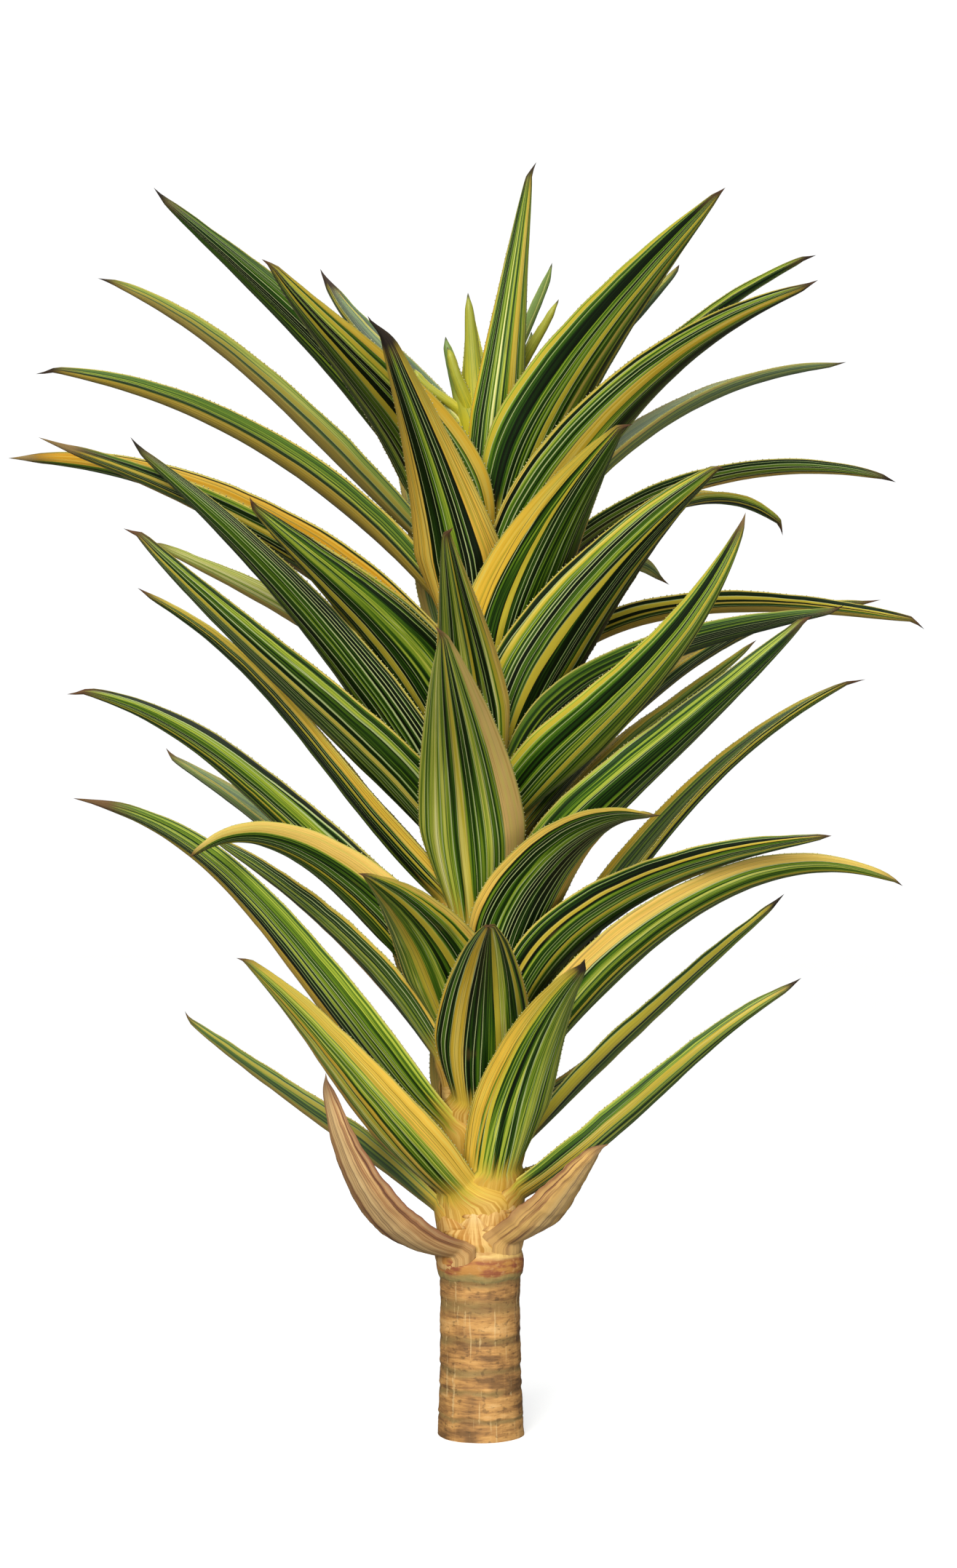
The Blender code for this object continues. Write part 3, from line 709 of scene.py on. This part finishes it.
def margin_teeth(bench, size):
    """The teeth, as instances on two lines of points."""
    index = bench.make("GeometryNodeInputIndex")
    margin = bench.math("MODULO", index, 2.0) * 2.0 - 1.0
    jitter = random_number(bench, -TOOTH_JITTER, TOOTH_JITTER, index, JITTER_SEED)
    share = (bench.math("FLOOR", index / 2.0) + 0.5 + jitter) / size["Teeth"]
    t = TEETH_FROM + share * (TEETH_TO - TEETH_FROM)
    place = leaf_point(bench, size, t, 0.0, margin, 0.0)
    at = leaf_frame(bench, size, t, margin)
    (cos_fold, out_in), (cos_turn, sin_turn) = bench.cos_sin(at["fold"]), at["turn"]
    out_across = cos_fold * margin
    upright = out_across * sin_turn + out_in * cos_turn
    side = out_across * cos_turn - out_in * sin_turn
    outward = at["cos"] * TOOTH_LEAN - at["sin"] * upright
    way = to_world(bench, size, outward, side, at["sin"] * TOOTH_LEAN + at["cos"] * upright)
    line = bench.make("GeometryNodeMeshLine", values={"Count": size["Teeth"] * 2.0})
    line = bench.make("GeometryNodeSetPosition", values={"Geometry": line, "Position": place})
    sizes = {"Vertices": TOOTH_SIDES, "Radius Top": 0.0, "Radius Bottom": TOOTH_BASE, "Depth": 1.0}
    cone = bench.make("GeometryNodeMeshCone", {"fill_type": "TRIANGLE_FAN"}, sizes)
    turned = bench.make("FunctionNodeAlignRotationToVector", {"axis": "Z"}, {"Vector": way})
    growth = random_number(bench, *TOOTH_GROWTH, index, GROWTH_SEED)
    scale = growth * size["Tooth Length"] * bench.ease(t, 1.05, 0.6)
    sizes = {"Points": line, "Instance": cone, "Rotation": turned, "Scale": bench.vector(scale, scale, scale)}
    return bench.make("GeometryNodeInstanceOnPoints", values=sizes)


print("teeth from", TEETH_FROM, "to", TEETH_TO, "of the way along")

# %% The tree of a leaf
COLUMNS, ROWS = 37, 66
WELD = 0.00002
SHEATH_ROWS = 0.14
SHEATH_ALONG = 0.12


def sheet(bench, columns, rows):
    """A flat grid, and how far across and how far along each of its points lies, from 0 to 1."""
    sizes = {"Size X": 1.0, "Size Y": 1.0, "Vertices X": columns, "Vertices Y": rows}
    x, y, _ = bench.split("XYZ", bench.make("GeometryNodeInputPosition"))
    return bench.make("GeometryNodeMeshGrid", None, sizes), x + 0.5, y + 0.5


def shaped(bench, mesh, place, material):
    """The grid moved into place, with its doubles merged, its instances realised and its material set."""
    mesh = bench.make("GeometryNodeSetPosition", values={"Geometry": mesh, "Position": place})
    mesh = bench.make("GeometryNodeMergeByDistance", values={"Geometry": mesh, "Distance": WELD})
    return finished(bench, mesh, material)


def finished(bench, mesh, material):
    mesh = bench.make("GeometryNodeRealizeInstances", values={"Geometry": mesh})
    return bench.make("GeometryNodeSetMaterial", values={"Geometry": mesh, "Material": material})


def leaf_tree():
    bench, size, tree = group_tree("leaf", LEAF_SIZES + LEAF_LOOKS, ("Teeth",), ("Skin", "Horn"))
    mesh, around, row = sheet(bench, COLUMNS, ROWS)
    u = bench.math("SINE", (abs(around * 4.0 - 2.0) - 1.0) * QUARTER)
    outer = bench.math("GREATER_THAN", around, 0.5)
    t = bench.math("MAXIMUM", row - SHEATH_ROWS, 0.0) / (1 - SHEATH_ROWS)
    below = bench.math("MAXIMUM", SHEATH_ROWS - row, 0.0) / SHEATH_ROWS
    looks = {"across": u, "along": t - below * SHEATH_ALONG, "outer": outer}
    looks.update({look.lower(): size[look] for look in LEAF_LOOKS})
    kind = {"data_type": "FLOAT", "domain": "POINT"}
    for name, value in looks.items():
        values = {"Geometry": mesh, "Name": name, "Value": value}
        mesh = bench.make("GeometryNodeStoreNamedAttribute", kind, values)
    blade = shaped(bench, mesh, leaf_point(bench, size, t, below, u, outer), size["Skin"])
    both = bench.node("GeometryNodeJoinGeometry")
    for part in (finished(bench, margin_teeth(bench, size), size["Horn"]), blade):
        tree.links.new(part.socket, both.inputs[0])
    tree.links.new(both.outputs[0], bench.node("NodeGroupOutput").inputs[0])
    return tree


LEAF_TREE = leaf_tree()
print("the leaf's tree has", len(LEAF_TREE.nodes), "nodes")

# %% [markdown]
# ## From a tree to a plain mesh
# A modifier's inputs are set by their identifiers before the object is first evaluated. The evaluated shape
# is copied into a plain mesh, and the modifier goes. The shell was rolled up from a grid, so its faces are
# turned outwards once its doubles are merged.

# %% Grow a piece from a tree
def grown(name, tree, inputs):
    """A new object whose plain mesh is what the tree makes of the inputs."""
    piece = placed(name, bpy.data.meshes.new(name))
    growth = piece.modifiers.new("growth", "NODES")
    growth.node_group = tree
    for item in tree.interface.items_tree:
        if item.in_out == "INPUT" and item.name in inputs:
            growth[item.identifier] = inputs[item.name]
    graph = bpy.context.evaluated_depsgraph_get()
    mesh = bpy.data.meshes.new_from_object(piece.evaluated_get(graph))
    piece.modifiers.remove(growth)
    piece.data = mesh
    faces_outwards(mesh)
    mesh.shade_smooth()
    return piece


def faces_outwards(mesh):
    shell = bmesh.new()
    shell.from_mesh(mesh)
    bmesh.ops.recalc_face_normals(shell, faces=shell.faces)
    shell.to_mesh(mesh)
    shell.free()


def triangles(piece):
    return sum(len(face.vertices) - 2 for face in piece.data.polygons)


print("ready to grow")

# %% [markdown]
# ## Fifty-six leaves
# Each leaf gets its own draw of small differences from a fixed seed: how its margin waves and how its dry
# tip curls.

# %% Grow the leaves
LEAF_THICKNESS = {"Foot Thickness": 0.0115, "Tip Thickness": 0.0058}
LEAF_SHEATH = {"Sheath Length": 0.050, "Sheath Spread": 0.55, "Sheath Skin": 0.0040}
SHEATH_MIDDLE = 0.02
TOOTH_SPACING = 0.0074
DRIED_SHARE = 0.75
# The striped leaf at the lower left wraps right round the front of the stem. Four leaves are slimmer towards
# the tip than the others, in the solid model too, and three have a chosen draw of stripes.
OWN_WAYS = {
    "left_low_striped": {"Sheath Length": 0.074, "Sheath Spread": 1.30, "Sheath Skin": 0.0066},
    "front_high_peach": {"Taper": 0.9},
    "front_upright": {"Taper": 1.0},
    "front_mid_narrow": {"Taper": 1.1},
    "front_right_mid": {"Taper": 1.15, "Seed": 4.4},
    "left_high_broad": {"Seed": 2.2},
    "front_low": {"Seed": 7.3},
}
draw = random.Random(7)


def leaf_inputs(name):
    place, turn, lift, reach, tip, first_slope, end_slope, width, *looks = LEAVES[name]
    heading = FIRST_HEADING + GOLDEN_TURN * place + turn
    foot = FIRST_FOOT + FOOT_STEP * place + lift / 1000
    start, end = (clasping_radius(foot, first_slope), foot), (reach / 1000, tip / 1000)
    roll = -ROLL * math.cos(math.radians(heading)) * ROLL_SHARES.get(name, 1.0)
    looks += INNER_BANDS.get(name, (0.0, 0.0, 0.0, 0.0))
    others = dict(zip(LEAF_LOOKS, looks))
    others.update({
        "Dry From": 1.0 - others["Dry From"] * DRIED_SHARE, "Roll": math.radians(roll), "Taper": TAPER,
        "Stem Radius": stem_radius(foot - SHEATH_MIDDLE), "Crumple": 0.0014,
        "Tip Sway": draw.uniform(-0.012, 0.012),
        "Tip Droop": draw.uniform(-0.004, 0.010),
        "Ruffle": draw.uniform(0.003, 0.006),
        "Tooth Length": draw.uniform(0.0011, 0.0016),
        "Seed": draw.uniform(0.0, 10.0),
        "Teeth": round(math.dist(start, end) / TOOTH_SPACING), "Skin": LEAF_SKIN, "Horn": TOOTH_HORN,
        **LEAF_THICKNESS, **LEAF_SHEATH, **OWN_WAYS.get(name, {}),
    })
    return leaf_like(start, end, (first_slope, end_slope), heading, width / 1000, FOOT_WRAP, others)


total = 0
for name in LEAVES:
    blade = grown("blade_" + name, LEAF_TREE, leaf_inputs(name))
    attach(blade, "root")
    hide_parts("leaf_" + name)
    total += triangles(blade)
print(len(LEAVES), "leaves,", total, "triangles")

# %% [markdown]
# ## The heart
# The youngest leaves stand almost upright in the middle. They have seen little light, so they are clear
# yellow with thin green lines. They come from the same tree, with another skin, and are joined, because they
# are one growing point.

# %% The heart's skin
def heart_skin():
    coat = Finish("heart skin")
    across, along, seed = coat.stored("across", "along", "seed")
    fine = coat.noise((across, seed, along), (22.0, 5.0, 1.2), 3.0, 0.6)
    grey = coat.ease(coat.noise((seed, 0.5, 0.2), (4.1, 1.0, 1.0), 0.0), 0.46, 0.54)
    tip = coat.ease(along, 0.955, 0.985)
    colour = coat.layered(
        "dfcf30",
        (coat.ease(fine, 0.52, 0.62) * 0.85, "7f9a26"),
        (coat.ease(along, 0.18, 0.70) * (0.45 + grey * 0.5), "74914c"),
        (coat.ease(along, 0.25, -0.1) * 0.5, "ead94a"),
        (coat.ease(abs(across), 0.90, 0.97) * 0.5, "e4da7c"),
        (tip * 0.8, "4c4a3a"),
    )
    return coat.done(colour, 0.42 + (fine - 0.5) * 0.15 + tip * 0.3, fine, 0.0005)


HEART_SKIN = heart_skin()

# %% Grow the heart
# Each young leaf: its heading, how far out its tip is, the tip's height, its end slope and its width, in
# degrees and millimetres.
HEART_LEAVES = (
    (250, 40, 1298, 78, 38), (215, 48, 1250, 76, 44), (185, 66, 1207, 66, 34),
    (330, 100, 1289, 60, 30), (40, 110, 1352, 66, 34), (100, 70, 1300, 74, 52),
)
# Slender ones that are too thin to be worth a solid each.
SLENDER_LEAVES = (
    (285, 46, 1240, 80, 34), (232, 56, 1236, 80, 22), (205, 82, 1214, 64, 16),
    (10, 60, 1262, 76, 20), (60, 60, 1290, 78, 26),
)
HEART_FOOT = 1.116
HEART_STEP = 0.004
HEART_RADIUS = 0.012
HEART_WRAP = 62.0
HEART_SLOPE = 80.0


def joined(name, pieces):
    """Several pieces made one."""
    first = pieces[0]
    with bpy.context.temp_override(
        active_object=first, object=first, selected_objects=pieces, selected_editable_objects=pieces
    ):
        bpy.ops.object.join()
    first.name = first.data.name = name
    return first


young = []
for number, (heading, reach, tip, end_slope, width) in enumerate(HEART_LEAVES + SLENDER_LEAVES):
    start, end = (HEART_RADIUS, HEART_FOOT + HEART_STEP * number), (reach / 1000, tip / 1000)
    inputs = leaf_like(start, end, (HEART_SLOPE, end_slope), heading, width / 1000, HEART_WRAP, {
        "Foot Thickness": 0.008, "Tip Thickness": 0.0058, "Stem Radius": 0.024, "Taper": 0.8,
        "Sheath Length": 0.060, "Sheath Spread": 0.9, "Sheath Skin": 0.004, "Dry From": 0.90,
        "Ruffle": 0.003, "Crumple": 0.001, "Tooth Length": 0.0012,
        "Tip Sway": draw.uniform(-0.004, 0.004),
        "Seed": draw.uniform(0.0, 10.0),
        "Teeth": 24, "Skin": HEART_SKIN, "Horn": TOOTH_HORN,
    })
    young.append(grown(f"young_{number}", LEAF_TREE, inputs))
heart = joined("young_heart", young)
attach(heart, "root")
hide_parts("heart")
print("heart has", triangles(heart), "triangles")

# %% [markdown]
# ## The withered leaves
# Two old leaves have dried to papery straps that still clasp the stem: thin, crumpled and streaked in tan
# and pinkish brown, cream where the sun has bleached them, with dark lines along one edge. A painted
# highlight lightens each strap along its middle, and painted shade partly darkens its pinkish-brown edges.
# The leaf's tree makes them too, with a strong crumple and no teeth.

# %% The withered skin
def withered_skin():
    coat = Finish("withered skin")
    across, along, seed, kept = coat.stored("across", "along", "seed", "peach")
    streaks = coat.noise((across, seed, along), (7.0, 5.0, 1.1), 4.0, 0.62)
    fibres = coat.noise((across, seed, along), (40.0, 1.0, 3.0))
    veins = coat.cells(across * 9.0 + seed * 3.0, "DISTANCE_TO_EDGE", "Distance", 1.0)
    browns = ((0.0, "3f2516"), (0.28, "764a2e"), (0.46, "a87549"), (0.62, "cfa26a"), (1.0, "efd7a4"))
    colour = coat.layered(
        coat.ramp((streaks - 0.5) * 1.6 + 0.57 + (fibres - 0.5) * 0.35, *browns),
        (kept * coat.ease(streaks, 0.36, 0.56), "e6b866"),
        # A painted highlight: a pale cream band along the middle of the strap.
        (coat.ease(abs(across - 0.1), 0.5, 0.1) * 0.45, "e6c98e"),
        # Darker pinkish-brown edges: partly the dead leaf's own colour, partly painted shade.
        (coat.ease(abs(across), 0.66, 0.96) * 0.6, "7c4632"),
        (coat.ease(veins, 0.12, 0.05) * coat.ease(streaks, 0.56, 0.42) * 0.7, "4a3420"),
        (coat.ease(along, 0.10, -0.04) * 0.5, "c99c58"),
        (coat.ease(along + (streaks - 0.5) * 0.2, 0.84, 0.97) * 0.7, "6b4a3c"),
    )
    return coat.done(colour, 0.78 + (fibres - 0.5) * 0.2, streaks + fibres * 0.5, 0.0012, 0.7)


WITHERED_SKIN = withered_skin()

# %% Grow the withered leaves
# The rows are the solids' own: heading, foot height, how far out the tip is, its height, the two slopes and
# the width. The last number is how much cream is left in the dead leaf.
HUSKS = {
    "withered_left": (216, 211, 214, 430, 8, 80, 82, 0.1),
    "withered_right": (324, 225, 172, 348, 24, 44, 80, 0.85),
}
HUSK_ROLL = 22.0
HUSK_SHEATH_MIDDLE = 0.01
for name, (heading, foot, reach, tip, first_slope, end_slope, width, cream) in HUSKS.items():
    start, end = (clasping_radius(foot / 1000, first_slope), foot / 1000), (reach / 1000, tip / 1000)
    inputs = leaf_like(start, end, (first_slope, end_slope), heading, width / 1000, FOOT_WRAP, {
        "Foot Thickness": 0.0045, "Tip Thickness": 0.0030, "Taper": 1.3,
        "Stem Radius": stem_radius(foot / 1000 - HUSK_SHEATH_MIDDLE),
        "Roll": math.radians(-HUSK_ROLL * math.cos(math.radians(heading))),
        "Sheath Length": 0.020, "Sheath Spread": 0.25, "Sheath Skin": 0.0050, "Dry From": 0.9,
        "Tip Sway": 0.006, "Tip Droop": 0.004, "Ruffle": 0.010, "Crumple": 0.0045,
        "Seed": draw.uniform(0.0, 10.0), "Peach": cream,
        "Teeth": 2, "Skin": WITHERED_SKIN, "Horn": WITHERED_SKIN,
    })
    husk = grown("dry_" + name, LEAF_TREE, inputs)
    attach(husk, "root")
    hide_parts(name)
    print(name, "has", triangles(husk), "triangles")

# %% [markdown]
# ## Old leaf bases
# Where leaves have been pulled off below the crown, short triangular bases stay on the stem and overlap like
# the scales of a bulb. Each is the same tree again, with a blade only three or four centimetres long that
# stands straight up against the stem.

# %% The skin of the old bases
def base_skin():
    coat = Finish("old base skin")
    across, along, seed = coat.stored("across", "along", "seed")
    streaks = coat.noise((across, seed, along), (9.0, 5.0, 0.8), 3.0, 0.6)
    colour = coat.layered(
        "c58e3e",
        (coat.ease(streaks, 0.40, 0.60), "eabf70"),
        (coat.ease(along, 0.45, 1.0) * 0.6, "eed396"),
        (coat.ease(abs(across), 0.80, 0.97) * 0.6, "9a6a30"),
    )
    return coat.done(colour, 0.6 + (streaks - 0.5) * 0.2, streaks, 0.0006)


BASE_SKIN = base_skin()

# %% Grow the old bases
# Each base: its heading in degrees, then its foot's height and how tall it stands in millimetres.
OLD_BASES = (
    (262, 224, 40), (318, 229, 44), (292, 246, 36), (206, 232, 40),
    (12, 226, 44), (70, 238, 40), (128, 230, 42), (348, 250, 34),
)
BASE_CLEAR = 0.001
BASE_LEAN = 0.003
BASE_SLOPES = (86, 90)
BASE_WIDTH = 0.078
bases = []
for heading, foot, tall in OLD_BASES:
    start = (stem_radius(foot / 1000) + BASE_CLEAR, foot / 1000)
    end = (start[0] + BASE_LEAN, foot / 1000 + tall / 1000)
    inputs = leaf_like(start, end, BASE_SLOPES, heading, BASE_WIDTH, FOOT_WRAP, {
        "Foot Width": 0.084, "Foot Thickness": 0.0042, "Tip Thickness": 0.0012, "Taper": 1.0,
        "Stem Radius": stem_radius(foot / 1000), "Sheath Length": 0.016, "Sheath Spread": 0.3,
        "Sheath Skin": 0.0040, "Dry From": 0.95, "Ruffle": 0.0015, "Crumple": 0.0008,
        "Seed": draw.uniform(0.0, 10.0), "Teeth": 1, "Skin": BASE_SKIN, "Horn": BASE_SKIN,
    })
    bases.append(grown(f"base_{heading}", LEAF_TREE, inputs))
old_bases = joined("old_leaf_bases", bases)
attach(old_bases, "root")
print(len(OLD_BASES), "old bases,", triangles(old_bases), "triangles")

# %% [markdown]
# ## The stem's skin
# The stem shows three zones. At the bottom is bark: tan and ochre, with a grey-green ring where each old
# leaf let go and fine pale scratches up and down. Above it is a swollen orange collar with reddish streaks,
# and then old sheaths, cream and yellow. One material reads the height and lays the zones over each other.

# %% Bark, collar and sheath
# Each ring's height, and how broad it is beside the others.
SCARS = ((0.024, 0.5), (0.055, 0.7), (0.079, 0.9), (0.113, 1.0), (0.152, 1.6), (0.178, 0.8))
RING_EDGE, RING_CORE = 0.0085, 0.001
COLLAR_FROM, COLLAR_TO = 0.184, 0.207


def stem_skin():
    coat = Finish("stem skin")
    spot = coat.spot()
    bands = coat.noise(spot, (17.0, 17.0, 120.0), 4.0, 0.68)
    blotch = coat.noise(spot, (24.0, 24.0, 26.0), 3.0)
    scratches = coat.noise(spot, (230.0, 230.0, 11.0))
    flecks = coat.noise(spot, (130.0, 130.0, 210.0))
    mottle = blotch + (bands - 0.5) * 0.8
    level = spot[2] + (blotch - 0.5) * 0.016

    tans = ((0.0, "5a3f20"), (0.34, "866036"), (0.50, "b08048"), (0.68, "cf9b58"), (1.0, "e6b878"))
    bark = coat.ramp((bands - 0.5) * 1.5 + (blotch - 0.5) * 1.1 + 0.52, *tans)
    for middle, breadth in SCARS:
        ring = coat.ease(abs(level - middle), RING_EDGE * breadth, RING_CORE * breadth)
        bark = coat.blend(ring * coat.ease(mottle, 0.30, 0.60) * 0.68, bark, "74683e")
    flame = coat.layered(
        "c48a42", (coat.ease(mottle, 0.44, 0.60), "934c30"), (coat.ease(flecks, 0.54, 0.68) * 0.5, "d0a066")
    )
    cream = coat.layered(
        "c08f45", (coat.ease(bands, 0.40, 0.62), "e8c273"), (coat.ease(spot[2], 0.35, 0.75) * 0.5, "b5ae4e")
    )
    sheath = coat.ease(level, COLLAR_TO - 0.004, COLLAR_TO + 0.004)
    colour = coat.layered(
        bark,
        (coat.ease(scratches, 0.62, 0.70) * 0.45, "e6c68c"),
        (coat.ease(flecks, 0.44, 0.30) * 0.50, "4c3820"),
        (coat.ease(level, COLLAR_FROM - 0.003, COLLAR_FROM + 0.003) * 0.9, flame),
        (coat.ease(abs(level - COLLAR_FROM), 0.006, 0.002) * 0.6, "8f8a55"),
        (sheath, cream),
    )
    relief = bands + scratches * 0.5 + flecks * 0.3
    return coat.done(colour, 0.78 - sheath * 0.25 + (blotch - 0.5) * 0.1, relief, 0.0016, 0.8)


STEM_SKIN = stem_skin()

# %% [markdown]
# ## The stem
# The stem is a grid rolled into a tube by the solid's own radius rule. The ring scars are real grooves with a
# raised lip, and the bark's fibres are real relief too, so that they show in the mesh and not only in its
# paint. The first and last rows close the ends.

# %% The tree of the stem
STEM_COLUMNS, STEM_ROWS = 145, 420
ROWS_LOW = 1.6
WRINKLE_DEPTH = 0.0020
SCAR_DEPTH = 0.0008
SCAR_HALF = 0.0040
SCAR_WANDER = 0.016
LIP_OFF = 1.6
LIP_RISE = 0.0004
WOBBLE = 0.005


def bell(bench, value, sharpness=-1.0):
    """1 where the value is 0, and soon 0 on both sides of it."""
    return bench.math("EXPONENT", value * value * sharpness)


def stem_tree():
    floats = ("Height", "Radius", "Top Radius", "Wrinkle Depth", "Scar Depth")
    bench, size, tree = group_tree("stem", floats, (), ("Skin",))
    grid, around, row = sheet(bench, STEM_COLUMNS, STEM_ROWS)
    end_row = 1.0 / (STEM_ROWS - 1)
    inner_rows = {"Value": row, "From Min": end_row, "From Max": 1.0 - end_row}
    height = size["Height"] * bench.make("ShaderNodeMapRange", None, inner_rows) ** ROWS_LOW
    up_crown = bench.math("MAXIMUM", height - CROWN_START, 0.0) / (size["Height"] - CROWN_START)
    radius = size["Radius"] + (size["Top Radius"] - size["Radius"]) * up_crown
    radius = radius + bench.math("EXPONENT", height / -FLARE_HEIGHT) * STEM_FLARE
    radius = radius + bell(bench, (height - COLLAR_HEIGHT) / COLLAR_SPREAD) * COLLAR_SWELL
    cos, sin = bench.cos_sin(around * math.tau)
    wobble = bench.noise((cos, sin, height), (1.4, 1.4, 9.0)) - 0.5
    wrinkles = bench.noise((cos, sin, height), (1.6, 1.6, 140.0), 3.0, 0.6) - 0.5
    for middle, breadth in SCARS:
        from_scar = (height + wobble * SCAR_WANDER - middle) / (SCAR_HALF * breadth)
        radius = radius - bell(bench, from_scar) * size["Scar Depth"]
        radius = radius + bell(bench, from_scar - LIP_OFF, -2.0) * LIP_RISE
    radius = radius + wrinkles * size["Wrinkle Depth"] + wobble * WOBBLE
    ends = bench.math("MINIMUM", row / end_row, (1.0 - row) / end_row)
    radius = radius * bench.math("MINIMUM", bench.math("MAXIMUM", ends, 0.0), 1.0)
    mesh = shaped(bench, grid, bench.vector(radius * cos, radius * sin, height), size["Skin"])
    tree.links.new(mesh.socket, bench.node("NodeGroupOutput").inputs[0])
    return tree


stem = grown("ringed_stem", stem_tree(), {
    "Height": STEM_HEIGHT, "Radius": STEM_RADIUS, "Top Radius": STEM_TOP_RADIUS,
    "Wrinkle Depth": WRINKLE_DEPTH, "Scar Depth": SCAR_DEPTH, "Skin": STEM_SKIN,
})
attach(stem, "root")
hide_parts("stem")
print("stem has", triangles(stem), "triangles")

# %% [markdown]
# ## Floor and light
# The photograph has a plain pale ground, and its light is a soft sun from the upper left. A pale plane, a
# broad sun and two wide lamps give that, and a white sky lights the undersides a little.

# %% The floor
COOL = (0.97, 0.98, 1.0)
FLOOR_GLOW = 0.6
FLOOR_HALF = 9.0


def floor_finish():
    coat = Finish("pale floor")
    cloud = coat.noise(coat.spot(), (1.2, 1.2, 1.2))
    coat.shader.inputs["Emission Color"].default_value = (*COOL, 1.0)
    coat.shader.inputs["Emission Strength"].default_value = FLOOR_GLOW
    return coat.done(coat.layered("ececea", (coat.ease(cloud, 0.3, 0.7), "f1f1ef")), 0.9)


floor_mesh = bpy.data.meshes.new("floor")
corners = [(x * FLOOR_HALF, y * FLOOR_HALF, 0.0) for x, y in ((-1, -1), (1, -1), (1, 1), (-1, 1))]
floor_mesh.from_pydata(corners, [], [(0, 1, 2, 3)])
floor_mesh.materials.append(floor_finish())
floor = placed("floor", floor_mesh)
floor.visible_diffuse = floor.visible_glossy = False
print("floor", 2 * FLOOR_HALF, "m across")

# %% The lights
def light(name, kind, place, aim, strength, colour):
    """The settings of a new light at a place, turned to face a point."""
    away = np.array(place) - np.array(aim)
    turn = (math.atan2(math.hypot(away[0], away[1]), away[2]), 0.0, math.atan2(away[1], away[0]) + QUARTER)
    made = placed(name, bpy.data.lights.new(name, kind), place, turn).data
    made.energy, made.color = strength, colour
    return made


WARM, WHITE = (1.0, 0.98, 0.93), (1.0, 1.0, 1.0)
SUN_FROM = (-0.8, -3.2, 1.35)
SUN_STRENGTH, SUN_WIDTH = 3.0, 32.0
FILL_WATTS, FILL_SIZE = 58.0, 3.0
TOP_WATTS, TOP_SIZE = 36.0, 2.0
light("sun", "SUN", SUN_FROM, (0.0, 0.0, 0.0), SUN_STRENGTH, WARM).angle = math.radians(SUN_WIDTH)
light("fill", "AREA", (1.6, -3.2, 0.3), (0.0, 0.0, 0.7), FILL_WATTS, COOL).size = FILL_SIZE
light("top", "AREA", (0.2, 1.0, 3.6), (0.0, 0.0, 0.9), TOP_WATTS, WHITE).size = TOP_SIZE

SKY_LIGHT, SKY_SHOWN = 0.15, 1.05
sky = bpy.data.worlds.new("studio")
sky.use_nodes = True
ground = Bench(sky.node_tree)
background = sky.node_tree.nodes["Background"]
background.inputs["Color"].default_value = (*WHITE, 1.0)
shown = ground.make("ShaderNodeLightPath") * (SKY_SHOWN - SKY_LIGHT) + SKY_LIGHT
ground.feed(background.inputs["Strength"], shown)
bpy.context.scene.world = sky
bpy.context.scene.view_settings.view_transform = "Standard"
print("a sun, two lamps and a white sky")
